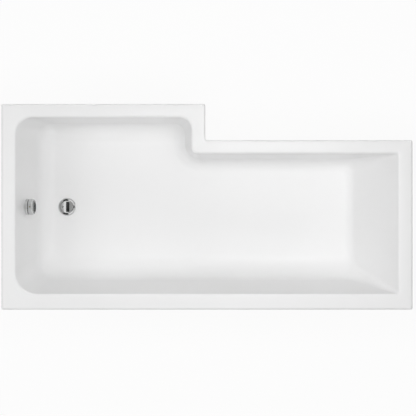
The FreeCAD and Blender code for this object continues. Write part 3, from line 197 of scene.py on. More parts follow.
class ShellSizes(bpy.types.PropertyGroup):
    """Moulded shell. Lists of walls run left, right, back, front, narrow side, step."""

    rims: lengths("Rim widths", "Flat rim of each wall", (0.058, 0.058, 0.065, 0.055, 0.055, 0.057))
    runs: lengths("Wall runs", "Inward lean of each wall", (0.075, 0.167, 0.060, 0.016, 0.018, 0.034))
    sweeps: lengths("Floor sweeps", "Radius from each wall into the floor",
                    (0.080, 0.052, 0.110, 0.080, 0.054, 0.054))
    corners: lengths("Well corners", "Upright corners, counter-clockwise from the back left",
                     (0.090, 0.010, 0.010, 0.026, 0.050, 0.070))
    feet: lengths("Foot corners", "The same corners where the walls would meet the floor",
                  (0.090, 0.060, 0.050, 0.070, 0.050, 0.070))
    depth: length("Well depth", "From rim to floor", 0.390)
    lip: length("Lip height", "Height of the rim's outer edge", 0.040)
    rollover: length("Rollover", "Radius from rim into well", 0.010)
    rim_edge: length("Rim edge", "Radius from rim into outer edge", 0.009)
    rim_corner: length("Rim corner", "Outer corners of the rim", 0.008)
    rim_notch: length("Rim notch", "Inward corner of the rim", 0.010)
    least_corner: length("Least corner", "Smallest corner at the foot of the walls", 0.006)
    sheet: length("Acrylic sheet", "Thickness of the formed sheet", 0.0035)
    wall: length("Whole wall", "Sheet and glass-fibre coat together", 0.006)
    step: length("Step", "Outer face of the step from the middle of the length", -0.007)
    narrow: length("Narrow side", "Outer face of the narrow side from the middle of the width", 0.275)
    coat_waves: length("Coat waves", "How far the rolled coat is uneven", 0.0009)


class FittingSizes(bpy.types.PropertyGroup):
    """Waste and overflow fittings."""

    waste_hole: length("Waste hole", "Hole radius in the floor", 0.026)
    overflow_hole: length("Overflow hole", "Hole radius in the end wall", 0.025)
    plug_radius: length("Plug radius", "Radius of the plug cap", 0.026)
    plug_crown: length("Plug crown", "Height of the plug's dome", 0.004)
    knob_radius: length("Knob radius", "Radius of the overflow knob", 0.034)
    knob_round: length("Knob rounding", "Rounding of the knob's front edge", 0.004)
    outlet_radius: length("Outlet radius", "Radius of the waste's outlet", 0.0239)
    outlet_thread: length("Outlet thread", "Length of the thread on the outlet", 0.0215)
    outlet_pitch: length("Outlet pitch", "Pitch of the thread on the outlet", 0.00231)
    outlet_groove: length("Outlet groove", "Depth of the thread on the outlet", 0.0011)
    outlet_sides: whole_number("Outlet sides", "Points round the outlet's thread", 72, least=8)


class LegSizes(bpy.types.PropertyGroup):
    """Leg set."""

    thread_pitch: length("Thread pitch", "Pitch of the studs", 0.00175)
    thread_depth: length("Thread depth", "Depth of the studs' thread", 0.00105)
    stud_chamfer: length("Stud chamfer", "Chamfer at the ends of the studs", 0.0012)
    stud_sides: whole_number("Stud sides", "Points round a stud", 20, least=8)
    turn_steps: whole_number("Steps per turn", "Rings along one turn of thread", 6, least=4)
    nut_flats: length("Nut across flats", "Lock nut size", 0.019)
    copy_turn: FloatProperty(name="Largest turn", description="Random turn of nuts and screws",
                             default=math.pi, subtype="ANGLE")
    copy_seed: whole_number("Seed", "Seed of the random turns", 7, least=0)


class BathColours(bpy.types.PropertyGroup):
    """Colour of each material."""

    acrylic: colour("Acrylic", "Sanitary white", (0.91, 0.91, 0.91))
    glass_fibre_coat: colour("Glass-fibre coat", "Resin over chopped strands", (0.70, 0.69, 0.62))
    chrome: colour("Chrome", "Plated fittings", (0.66, 0.666, 0.664))
    # The inside of the knob is unplated, and its near-black colour is painted shade that darkens the grub
    # hole.
    cast_metal: colour("Cast metal", "Unplated inside of the knob", (0.05, 0.05, 0.052))
    zinc_fasteners: colour("Zinc", "Plated fasteners", (0.55, 0.56, 0.55))
    galvanised: colour("Galvanised sheet", "Rails and bracket", (0.52, 0.54, 0.56))
    brass: colour("Brass", "Stem and spindle", (0.60, 0.43, 0.18))
    pin_steel: colour("Pin steel", "Rocker pin", (0.56, 0.56, 0.57))
    chipboard: colour("Chipboard", "Baseboard", (0.42, 0.29, 0.16))
    timber: colour("Timber", "Battens", (0.52, 0.34, 0.17))
    seal_rubber: colour("Rubber", "Seals", (0.022, 0.022, 0.023))
    foot_plastic: colour("Foot plastic", "Feet", (0.025, 0.025, 0.028))
    white_plastic: colour("White plastic", "Waste body, elbow and pipe", (0.72, 0.72, 0.70))
    acetal: colour("Acetal", "Lift rocker", (0.66, 0.64, 0.56))


class StageSizes(bpy.types.PropertyGroup):
    """Camera, floor and lights."""

    camera_place: FloatVectorProperty(name="Camera", description="Place of the camera", size=3,
                                      default=(0.0043, -0.0048, 8.54), subtype="TRANSLATION", unit="LENGTH")
    lens: FloatProperty(name="Focal length", description="In millimetres", default=167.6, min=1)
    floor_size: length("Floor", "Side of the floor", 40.0)
    lamp_level: FloatProperty(name="Lamp level", description="Share of each lamp's power", default=1.0, min=0)
    room_light: FloatProperty(name="Room light", description="Strength of the even light", default=0.3)
    white_share: FloatProperty(name="White floor", description="How far the floor shows as white",
                               default=0.93, subtype="FACTOR", min=0, max=1)


class ShowerBath(bpy.types.PropertyGroup):
    """Everything that can be set on the bath."""

    shell: PointerProperty(type=ShellSizes)
    fittings: PointerProperty(type=FittingSizes)
    legs: PointerProperty(type=LegSizes)
    colours: PointerProperty(type=BathColours)
    stage: PointerProperty(type=StageSizes)


def settings():
    return bpy.context.scene.shower_bath


# Materials

def add_node(tree, kind, **values):
    """New node of a tree, with constants set and output sockets linked.

    A key is a property, a socket's name with _ for each space, or i and the socket's place.
    """
    made = tree.nodes.new(kind)
    for key, value in values.items():
        if hasattr(made, key):
            setattr(made, key, value)
            continue
        by_place = key[0] == "i" and key[1:].isdigit()
        socket = made.inputs[int(key[1:]) if by_place else key.replace("_", " ")]
        if isinstance(value, bpy.types.NodeSocket):
            tree.links.new(value, socket)
        else:
            socket.default_value = value
    return made


def maths(tree, operation, first, second):
    return add_node(tree, "ShaderNodeMath", operation=operation, i0=first, i1=second).outputs[0]


def rescale(tree, value, low, high, least=0.0, most=1.0):
    """Value brought from between low and high to between least and most."""
    return add_node(tree, "ShaderNodeMapRange", Value=value, From_Min=low, From_Max=high,
                    To_Min=least, To_Max=most).outputs["Result"]


def mix_colours(tree, mask, first, second):
    """Colour between two by a mask. Sockets 0, 6 and 7 of the node are its share and its two colours."""
    return add_node(tree, "ShaderNodeMix", data_type="RGBA", i0=mask, i6=first, i7=second).outputs[2]


def mix_shaders(tree, share, first, second):
    return add_node(tree, "ShaderNodeMixShader", Fac=share, i1=first.outputs[0], i2=second.outputs[0])


def shade(tint, factor):
    return (*(min(1.0, part * factor) for part in tint), 1)


def object_point(tree):
    return add_node(tree, "ShaderNodeTexCoord").outputs["Object"]


def drawn_point(tree, scale, turn=(0, 0, 0)):
    """Place on the object, drawn out and turned."""
    where = object_point(tree)
    return add_node(tree, "ShaderNodeMapping", Vector=where, Scale=scale, Rotation=turn).outputs[0]


def clouds_at(tree, where, scale, detail):
    return add_node(tree, "ShaderNodeTexNoise", Vector=where, Scale=scale, Detail=detail).outputs["Fac"]


def cells_at(tree, where, scale, channel):
    """One number for each cell of a cell pattern."""
    cells = add_node(tree, "ShaderNodeTexVoronoi", Vector=where, Scale=scale)
    return add_node(tree, "ShaderNodeSeparateColor", Color=cells.outputs["Color"]).outputs[channel]


def new_group(name, inputs, outputs):
    """Shader group with number inputs and number outputs, and nothing between them."""
    group = bpy.data.node_groups.new(name, "ShaderNodeTree")
    for key, default in inputs.items():
        socket = group.interface.new_socket(key, in_out="INPUT", socket_type="NodeSocketFloat")
        socket.default_value = default
    for key in outputs:
        group.interface.new_socket(key, in_out="OUTPUT", socket_type="NodeSocketFloat")
    return group, group.nodes.new("NodeGroupInput").outputs, group.nodes.new("NodeGroupOutput").inputs


@functools.cache
def mottle_group():
    """Cloudy mask over the object, with a value spread between two limits and a fine relief."""
    group, given, result = new_group("mottle", {"Scale": 10, "Low": 0.2, "High": 0.4, "Grain": 400},
                                     ("Mask", "Value", "Relief"))
    where = object_point(group)
    clouds = clouds_at(group, where, given["Scale"], detail=4.0)
    value = rescale(group, clouds, low=0.3, high=0.7, least=given["Low"], most=given["High"])
    group.links.new(clouds, result["Mask"])
    group.links.new(value, result["Value"])
    group.links.new(clouds_at(group, where, given["Grain"], detail=2.0), result["Relief"])
    return group


@functools.cache
def dust_group():
    """Mask of dust that settles on faces that look up."""
    group, given, result = new_group("settled_dust", {"Amount": 0.3, "Scale": 25}, ("Mask",))
    normal = add_node(group, "ShaderNodeNewGeometry").outputs["Normal"]
    facing = add_node(group, "ShaderNodeSeparateXYZ", Vector=normal).outputs["Z"]
    patches = clouds_at(group, object_point(group), given["Scale"], detail=5.0)
    settled = maths(group, "MULTIPLY", rescale(group, facing, low=0.2, high=1.0), patches)
    group.links.new(maths(group, "MULTIPLY", settled, given["Amount"]), result["Mask"])
    return group


def blank_material(name):
    material = bpy.data.materials.new(name)
    material.use_nodes = True
    return material, material.node_tree, material.node_tree.nodes["Principled BSDF"]


def new_material(name, tint, spread, clouds, rough, grain, relief, dust, pattern=None, **plain_inputs):
    """Principled material: tint varied by clouds and an optional pattern, roughness range and fine relief."""
    material, tree, surface = blank_material(name)
    for key, value in plain_inputs.items():
        surface.inputs[key.replace("_", " ")].default_value = value
    mottle = add_node(tree, "ShaderNodeGroup", node_tree=mottle_group(), Scale=clouds, Low=rough[0],
                      High=rough[1], Grain=grain)
    base = mix_colours(tree, mottle.outputs["Mask"], shade(tint, 1 - spread), shade(tint, 1 + spread))
    height = mottle.outputs["Relief"]
    if pattern:
        base, height = pattern(tree, base, tint)
    if dust:
        settled = add_node(tree, "ShaderNodeGroup", node_tree=dust_group(), Amount=dust)
        base = mix_colours(tree, settled.outputs["Mask"], base, DUST_TINT)
    tree.links.new(base, surface.inputs["Base Color"])
    tree.links.new(mottle.outputs["Value"], surface.inputs["Roughness"])
    bump = add_node(tree, "ShaderNodeBump", Strength=relief[0], Distance=relief[1], Height=height)
    tree.links.new(bump.outputs["Normal"], surface.inputs["Normal"])
    return material


def strand_pattern(tree, base, tint):
    """Chopped glass strands lying every way in the resin."""
    strands = 0.0
    for turn in STRAND_TURNS:
        fibre = clouds_at(tree, drawn_point(tree, (0.1, 1, 1), turn), scale=260, detail=3.0)
        strands = maths(tree, "MAXIMUM", strands, rescale(tree, fibre, low=0.56, high=0.68))
    return mix_colours(tree, strands, base, shade(tint, factor=1.15)), strands


def timber_pattern(tree, base, tint):
    """Long grain with darker late wood."""
    fibre = clouds_at(tree, drawn_point(tree, (0.03, 1, 1)), scale=260, detail=6.0)
    grain = rescale(tree, fibre, low=0.42, high=0.66)
    return mix_colours(tree, grain, base, shade(tint, factor=0.55)), grain


def chip_pattern(tree, base, tint):
    """Pressed wood chips of several browns."""
    tone = cells_at(tree, drawn_point(tree, (0.6, 1.4, 1.8)), scale=260, channel="Red")
    paleness = rescale(tree, tone, low=0.0, high=1.0, most=0.85)
    return mix_colours(tree, paleness, base, shade(tint, factor=1.9)), tone


def spangle_pattern(tree, base, tint):
    """Zinc crystals on hot-dipped sheet."""
    tone = cells_at(tree, object_point(tree), scale=95, channel="Green")
    return mix_colours(tree, tone, base, shade(tint, factor=1.45)), tone


PATTERNS = {"glass_fibre_coat": strand_pattern, "galvanised": spangle_pattern, "chipboard": chip_pattern,
            "timber": timber_pattern}


@functools.cache
def stock():
    """Materials by name, made once: one per slot, the coat under the acrylic and the inside of the knob,
    whose near black is painted shade.
    """
    made = {}
    for name, finish in FINISHES.items():
        tint = tuple(getattr(settings().colours, name))
        made[name] = new_material(name, tint, *finish, PATTERNS.get(name), **PLAIN_INPUTS.get(name, {}))
    return made


# Meshes

def add_object(name, data):
    made = bpy.data.objects.new(name, data)
    bpy.context.scene.collection.objects.link(made)
    return made


def from_bmesh(name, work):
    """Object from an edit mesh, with all faces turned outwards."""
    bmesh.ops.recalc_face_normals(work, faces=work.faces)
    mesh = bpy.data.meshes.new(name)
    work.to_mesh(mesh)
    work.free()
    return add_object(name, mesh)


def apply_modifiers(made):
    """Turn an object's modifiers into plain mesh."""
    shaped = made.evaluated_get(bpy.context.evaluated_depsgraph_get())
    mesh = bpy.data.meshes.new_from_object(shaped)
    made.modifiers.clear()
    made.data = mesh
    mesh.name = made.name


def combine(made, tool, operation):
    """Exact boolean of two objects with its seams joined; the tool goes."""
    modifier = made.modifiers.new("combine", "BOOLEAN")
    modifier.object = tool
    modifier.operation = operation
    modifier.solver = "EXACT"
    apply_modifiers(made)
    bpy.data.objects.remove(tool)
    work = bmesh.new()
    work.from_mesh(made.data)
    bmesh.ops.remove_doubles(work, verts=work.verts, dist=WELD)
    bmesh.ops.dissolve_degenerate(work, edges=work.edges, dist=WELD)
    bmesh.ops.triangulate(work, faces=[face for face in work.faces if len(face.verts) > 4])
    work.to_mesh(made.data)
    work.free()


def smooth(made):
    made.data.shade_smooth()
    made.data.set_sharp_from_angle(angle=SMOOTH_ANGLE)


def soften(made, width=0):
    """Rounded edges where a width is given, and smooth shading over them."""
    if width:
        bevel = made.modifiers.new("edges", "BEVEL")
        bevel.width = width
        bevel.segments = EDGE_SEGMENTS
        bevel.limit_method = "ANGLE"
        bevel.angle_limit = SMOOTH_ANGLE
        bevel.use_clamp_overlap = True
        apply_modifiers(made)
    smooth(made)
    weighted = made.modifiers.new("normals", "WEIGHTED_NORMAL")
    weighted.keep_sharp = True
    apply_modifiers(made)


def place(made, node, material=None):
    """Give a piece the body, slot and material of the fixed node that it stands for, or another material."""
    bodies = frame["record"]["behaviour"]["bodies"]
    body = next(name for name, members in bodies.items() if node in members)
    slot = next(part["material_slot"] for part in frame["record"]["subparts"] if part["node"] == node)
    made.data.materials.clear()
    made.data.materials.append(material or stock()[slot])
    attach(made, body)
    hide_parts(node)


def settle(made, node, width=0):
    """Soften a piece and put it in the place of its fixed node."""
    soften(made, width)
    place(made, node)


def merged_copy(node):
    """Edit mesh of a fixed node with its triangles joined and flat areas made whole."""
    work = bmesh.new()
    work.from_mesh(frame["nodes"][node].data)
    bmesh.ops.remove_doubles(work, verts=work.verts, dist=JOIN)
    bmesh.ops.dissolve_limit(work, angle_limit=FLAT_ANGLE, verts=work.verts, edges=work.edges)
    return work


def refine(width, *nodes):
    """Pieces that follow fixed nodes, with softened edges."""
    for node in nodes:
        settle(from_bmesh(f"{node}_piece", merged_copy(node)), node, width)


def islands(node):
    """Low and high corner of each separate solid of a fixed node, in the order of its points."""
    work = merged_copy(node)
    left = set(work.verts)
    boxes = []
    for start in work.verts:
        if start not in left:
            continue
        left.remove(start)
        group, waiting = [], [start]
        while waiting:
            vert = waiting.pop()
            group.append(vert.co.copy())
            for other in (link.other_vert(vert) for link in vert.link_edges):
                if other in left:
                    left.remove(other)
                    waiting.append(other)
        boxes.append([Vector(map(pick, zip(*group))) for pick in (min, max)])
    work.free()
    return boxes


def rounded_profile(corners, closed):
    """Profile of (radius, height, rounding) corners with each rounding drawn as an arc."""
    points = []
    count = len(corners)
    for index, (across, along, rounding) in enumerate(corners):
        here = Vector((across, along))
        if rounding == 0 or (not closed and index in (0, count - 1)):
            points.append(here)
            continue
        before = Vector(corners[index - 1][:2]) - here
        after = Vector(corners[(index + 1) % count][:2]) - here
        half = before.angle(after) / 2
        reach = rounding / math.tan(half)
        centre = here + (before.normalized() + after.normalized()).normalized() * rounding / math.sin(half)
        first = here + before.normalized() * reach - centre
        swing = first.angle_signed(here + after.normalized() * reach - centre)
        for step in range(EDGE_STEPS + 1):
            angle = swing * step / EDGE_STEPS
            points.append(centre + Matrix.Rotation(-angle, 2) @ first)
    return points


def bridge(work, low, high):
    """Faces between two rings of as many points; corners that are one point count once."""
    count = len(low)
    for step in range(count):
        following = (step + 1) % count
        corners = (low[step], low[following], high[following], high[step])
        work.faces.new(list(dict.fromkeys(corners)))


def turned(name, corners, where=Matrix(), sides=LATHE_SIDES, closed=True):
    """Piece turned round Z from a rounded profile; an open profile starts and ends on the axis."""
    work = bmesh.new()
    rings = []
    for point in rounded_profile(corners, closed):
        if point.x < ON_AXIS:
            rings.append([work.verts.new(where @ Vector((0, 0, point.y)))] * sides)
            continue
        angles = (2 * math.pi * step / sides for step in range(sides))
        rings.append([work.verts.new(where @ Vector((point.x * math.cos(a), point.x * math.sin(a), point.y)))
                      for a in angles])
    for low, high in zip(rings, rings[1:]):
        bridge(work, low, high)
    if closed:
        bridge(work, rings[-1], rings[0])
    return from_bmesh(name, work)


def mirrored(*corners):
    """Profile from its lower half: the same corners again above the middle, in reverse."""
    return [*corners, *((radius, -height, rounding) for radius, height, rounding in reversed(corners))]


def rod(name, radius, low, high, where=Matrix(), sides=48):
    """Closed round bar along Z, for holes and cutters."""
    return turned(name, [(0, low, 0), (radius, low, 0), (radius, high, 0), (0, high, 0)], where, sides, False)


def block(name, size, where=Matrix()):
    """Closed bar about the origin of its own frame, for spokes and recesses."""
    work = bmesh.new()
    bmesh.ops.create_cube(work, size=1, matrix=where @ Matrix.Diagonal((*size, 1)))
    return from_bmesh(name, work)


def axis_point(node, height):
    """Point at a height on the upright axis of a round fixed node."""
    low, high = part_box(node)
    return Vector(((low.x + high.x) / 2, (low.y + high.y) / 2, height))


def waste_frame():
    """Frame on the floor's top at the centre of the waste."""
    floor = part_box("bath_shell")[1].z - settings().shell.depth
    return Matrix.Translation(axis_point("plug_stem", floor))


def overflow_frame():
    """Frame on the end wall's face, Z into the bath and X down the wall."""
    joint = next(entry for entry in frame["record"]["behaviour"]["joints"] if entry["name"] == "knob_turn")
    into = Vector(joint["axis"]).normalized()
    along = Vector((0, 1, 0))
    axes = Matrix((along.cross(into), along, into)).transposed().to_4x4()
    return Matrix.Translation(joint["pos_m"]) @ axes


# Geometry trees

def geometry_tree(name, inputs):
    """Empty geometry tree with named inputs."""
    tree = bpy.data.node_groups.new(name, "GeometryNodeTree")
    tree.interface.new_socket("Geometry", in_out="INPUT", socket_type="NodeSocketGeometry")
    for key, kind in inputs.items():
        tree.interface.new_socket(key, in_out="INPUT", socket_type=f"NodeSocket{kind}")
    tree.interface.new_socket("Geometry", in_out="OUTPUT", socket_type="NodeSocketGeometry")
    return tree, tree.nodes.new("NodeGroupInput").outputs, tree.nodes.new("NodeGroupOutput").inputs


def finish_tree(tree, shape, given, result):
    """Close a geometry tree: real mesh, material, output."""
    whole = add_node(tree, "GeometryNodeRealizeInstances", Geometry=shape)
    coloured = add_node(tree, "GeometryNodeSetMaterial", Geometry=whole.outputs[0],
                        Material=given["Material"])
    tree.links.new(coloured.outputs[0], result["Geometry"])
    return tree


@functools.cache
def thread_tree():
    """Threaded rod that stands on a place, with chamfered ends."""
    tree, given, result = geometry_tree("threaded_rod", {
        "Place": "Vector", "Radius": "Float", "Length": "Float", "Pitch": "Float", "Depth": "Float",
        "Chamfer": "Float", "Sides": "Int", "Steps": "Int", "Material": "Material"})
    reckon = functools.partial(maths, tree)
    rings = reckon("MULTIPLY", reckon("DIVIDE", given["Length"], given["Pitch"]), given["Steps"])
    bar = add_node(tree, "GeometryNodeMeshCylinder", Vertices=given["Sides"], Radius=given["Radius"],
                   Depth=given["Length"], Side_Segments=rings)
    position = add_node(tree, "GeometryNodeInputPosition").outputs[0]
    spot = add_node(tree, "ShaderNodeSeparateXYZ", Vector=position).outputs
    around = reckon("DIVIDE", reckon("ARCTAN2", spot["Y"], spot["X"]), 2 * math.pi)
    phase = reckon("SUBTRACT", reckon("DIVIDE", spot["Z"], given["Pitch"]), around)
    flank = rescale(tree, reckon("PINGPONG", phase, 0.5), CREST_END, ROOT_START)
    groove = reckon("MULTIPLY", flank, given["Depth"])
    half = reckon("MULTIPLY", given["Length"], 0.5)
    to_end = reckon("SUBTRACT", half, reckon("ABSOLUTE", spot["Z"], 0.0))
    bevel = reckon("MAXIMUM", reckon("SUBTRACT", given["Chamfer"], to_end), 0.0)
    radius = reckon("SUBTRACT", given["Radius"], reckon("MAXIMUM", groove, bevel))
    share = reckon("DIVIDE", radius, given["Radius"])
    moved = add_node(tree, "ShaderNodeCombineXYZ", X=reckon("MULTIPLY", spot["X"], share),
                     Y=reckon("MULTIPLY", spot["Y"], share), Z=reckon("ADD", spot["Z"], half))
    placed = add_node(tree, "ShaderNodeVectorMath", operation="ADD", i0=moved.outputs[0], i1=given["Place"])
    shaped = add_node(tree, "GeometryNodeSetPosition", Geometry=bar.outputs["Mesh"],
                      Position=placed.outputs[0])
    return finish_tree(tree, shaped.outputs[0], given, result)


def copies_tree():
    """Copies of one piece at every point, each turned at random round its axis."""
    tree, given, result = geometry_tree("copies", {
        "Copy": "Object", "Turn": "Float", "Seed": "Int", "Material": "Material"})
    most = add_node(tree, "ShaderNodeCombineXYZ", Z=given["Turn"])
    # Sockets 0, 1 and 8 of the random value are its least and most vector and its seed.
    turns = add_node(tree, "FunctionNodeRandomValue", data_type="FLOAT_VECTOR", i0=(0, 0, 0),
                     i1=most.outputs[0], i8=given["Seed"])
    piece = add_node(tree, "GeometryNodeObjectInfo", Object=given["Copy"])
    copies = add_node(tree, "GeometryNodeInstanceOnPoints", Points=given["Geometry"],
                      Instance=piece.outputs["Geometry"], Rotation=turns.outputs[0])
    return finish_tree(tree, copies.outputs[0], given, result)


def grow(name, mesh, tree, **values):
    """Object shaped by a geometry tree with the given inputs, turned into plain mesh."""
    made = add_object(name, mesh)
    modifier = made.modifiers.new(tree.name, "NODES")
    modifier.node_group = tree
    for item in tree.interface.items_tree:
        if item.in_out == "INPUT" and item.name in values:
            modifier[item.identifier] = values[item.name]
    apply_modifiers(made)
    return made


def threaded(name, material, **sizes):
    return grow(name, bpy.data.meshes.new(name), thread_tree(), Steps=settings().legs.turn_steps,
                Material=stock()[material], **sizes)


# Shell

class Well:
    """Where the rim and well walls stand at a depth below the rim, moved outwards by an offset."""

    def __init__(self, size):
        low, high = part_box("bath_shell")
        self.size = size
        self.top = high.z
        self.outside = {"left": low.x, "right": high.x, "back": low.y, "front": high.y,
                        "narrow": size.narrow, "step": size.step}
        self.rim = dict(zip(WALLS, size.rims))
        self.run = dict(zip(WALLS, size.runs))
        self.sweep = dict(zip(WALLS, size.sweeps))

    def plane(self, wall, depth, offset):
        """Inset of the flat leaning wall."""
        slant = math.hypot(self.size.depth, self.run[wall])
        return self.rim[wall] + (depth * self.run[wall] - offset * slant) / self.size.depth

    def inset(self, wall, depth, offset):
        """Inset of the wall with its rollover above and its sweep into the floor below."""
        whole, run, sweep = self.size.depth, self.run[wall], self.sweep[wall]
        slant = math.hypot(whole, run)
        lean = math.asin(run / slant)
        roll = self.size.rollover - offset
        below = depth - offset
        if below < roll * (1 - math.sin(lean)):
            start = self.plane(wall, offset, offset) - roll * math.tan(math.pi / 4 - lean / 2)
            return start + math.sqrt(max(0, roll ** 2 - (roll - below) ** 2))
        centre = whole - sweep
        if depth > centre + (sweep + offset) * run / slant:
            middle = self.rim[wall] + (sweep * slant + centre * run) / whole
            return middle - math.sqrt(max(0, (sweep + offset) ** 2 - (depth - centre) ** 2))
        return self.plane(wall, depth, offset)

    def well_ring(self, depth, offset):
        """Ring on the well's walls, whose corners change from rim to floor and shrink along the sweeps."""
        insets = {wall: self.inset(wall, depth, offset) for wall in WALLS}
        gained = {wall: max(0, insets[wall] - self.plane(wall, max(depth, offset), offset)) for wall in WALLS}
        radii = []
        share = min(1, max(0, depth / self.size.depth))
        for (wall_x, wall_y, _, turn), upper, lower in zip(CORNERS, self.size.corners, self.size.feet):
            side = math.copysign(1, turn)
            radius = upper + (lower - upper) * share
            shrink = min(gained[wall_x], gained[wall_y])
            radii.append(max(self.size.least_corner, radius + side * (offset - shrink)))
        return self.ring(insets, radii, self.top - depth)

    def rim_ring(self, inset, depth):
        """Ring on the rim and its outer edge."""
        outward = max(LEAST_RIM_CORNER, self.size.rim_corner - inset)
        inward = self.size.rim_notch + inset
        radii = [outward if turn > 0 else inward for *_, turn in CORNERS]
        return self.ring(dict.fromkeys(WALLS, inset), radii, self.top - depth)

    def ring(self, insets, radii, height):
        """Points of one closed L at a height."""
        lines = {wall: self.outside[wall] + INWARD[wall] * insets[wall] for wall in WALLS}
        arcs = []
        for (wall_x, wall_y, first, turn), radius in zip(CORNERS, radii):
            reach = radius * math.copysign(1, turn)
            centre = Vector((lines[wall_x] + INWARD[wall_x] * reach, lines[wall_y] + INWARD[wall_y] * reach))
            angles = (math.radians(first + turn * step / ARC_POINTS) for step in range(ARC_POINTS + 1))
            arcs.append([centre + radius * Vector((math.cos(a), math.sin(a))) for a in angles])
        points = []
        for index, arc in enumerate(arcs):
            following = arcs[(index + 1) % len(arcs)][0]
            points += arc
            count = SIDE_POINTS[index]
            shares = ((1 - math.cos(math.pi * step / count)) / 2 for step in range(1, count))
            points += [arc[-1].lerp(following, share) for share in shares]
        return [Vector((*point, height)) for point in points]

    def skin(self, offset):
        """Rings from the lip's lower edge over the rim and down the wall to the flat floor."""
        size = self.size
        edge = max(0, size.rim_edge - offset)
        quarter = math.pi / 2
        roll = size.rollover - offset
        drops = (size.lip * (LIP_STEPS - step) / LIP_STEPS for step in range(LIP_STEPS - 1))
        rings = [self.rim_ring(offset, drop) for drop in drops]
        for step in range(EDGE_STEPS + 1):
            angle = quarter * step / EDGE_STEPS
            inset = offset + edge * (1 - math.cos(angle))
            depth = offset + edge * (1 - math.sin(angle))
            rings.append(self.rim_ring(inset, depth))
            if edge == 0:
                break
        angles = (quarter * step / ROLL_STEPS for step in range(ROLL_STEPS + 1))
        depths = [offset + roll * (1 - math.cos(angle)) for angle in angles]
        zone = SWEEP_ZONE + offset
        lowest = size.depth + offset
        flat = lowest - zone * (1 - FLAT_SHARE) - size.rollover
        depths += [size.rollover + flat * step / WALL_STEPS for step in range(1, WALL_STEPS)]
        first = math.asin(FLAT_SHARE)
        angles = (first + (quarter - first) * step / SWEEP_STEPS for step in range(SWEEP_STEPS + 1))
        depths += [lowest - zone * (1 - math.sin(angle)) for angle in angles]
        return rings + [self.well_ring(depth, offset) for depth in depths]


def layer(name, rings):
    """Closed layer through rings that start and end at the middle of a floor."""
    work = bmesh.new()
    loops = [[work.verts.new(point) for point in ring] for ring in rings]
    for low, high in zip(loops, loops[1:]):
        bridge(work, low, high)
    work.faces.new(loops[0])
    work.faces.new(loops[-1])
    return from_bmesh(name, work)


class ShellOperator(bpy.types.Operator):
    """Make the formed acrylic sheet and the glass-fibre coat on its underside"""

    bl_idname = "shower_bath.shell"
    bl_label = "Shell"

    def execute(self, context):
        size = settings().shell
        fittings = settings().fittings
        well = Well(size)
        offsets = (0, size.sheet, size.sheet + HAIRLINE, size.wall)
        inside, middle, under, outside = (well.skin(offset) for offset in offsets)
        sheet = layer("acrylic_sheet", inside[::-1] + middle)
        coat = layer("glass_fibre_coat", under[::-1] + outside)
        for vertex in coat.data.vertices[len(under) * len(under[0]):]:
            wave = sum((share * noise.noise(vertex.co * scale) for scale, share in COAT_WAVES), COAT_LEVEL)
            vertex.co -= vertex.normal * size.coat_waves * min(1, max(0, wave))
        openings = {"waste_opening": (fittings.waste_hole, waste_frame()),
                    "overflow_opening": (fittings.overflow_hole, overflow_frame())}
        for made in (sheet, coat):
            for name, (radius, where) in openings.items():
                cutter = rod(name, radius, -OPENING_REACH, OPENING_REACH, where, LATHE_SIDES)
                combine(made, cutter, "DIFFERENCE")
            smooth(made)
        place(sheet, "bath_shell")
        place(coat, "bath_shell", stock()["glass_fibre_coat"])
        return {"FINISHED"}


# Fittings

def spokes(name, where, reach, bar, hub, bore, low, high, count=4):
    """Bored hub with bars that reach into it."""
    made = turned(name, [(bore, low, FINE_EDGE), (hub, low, FINE_EDGE), (hub, high, FINE_EDGE),
                         (bore, high, FINE_EDGE)], where)
    inner = (hub + bore) / 2
    size = (reach - inner, bar, high - low - 2 * STEP)
    outwards = Matrix.Translation(((inner + reach) / 2, 0, (low + high) / 2))
    for turn in range(count):
        spot = Matrix.Rotation(turn * 2 * math.pi / count, 4, "Z") @ outwards
        combine(made, block(f"{name}_bar", size, where @ spot), "UNION")
    return made


def dome(radius, edge, crown):
    """Profile corners over a dome, from its edge to the axis."""
    ball = (radius ** 2 + crown ** 2) / (2 * crown)
    swing = math.asin(radius / ball)
    angles = (swing * (1 - step / DOME_STEPS) for step in range(1, DOME_STEPS + 1))
    return [(ball * math.sin(a), edge + crown - ball * (1 - math.cos(a)), 0) for a in angles]


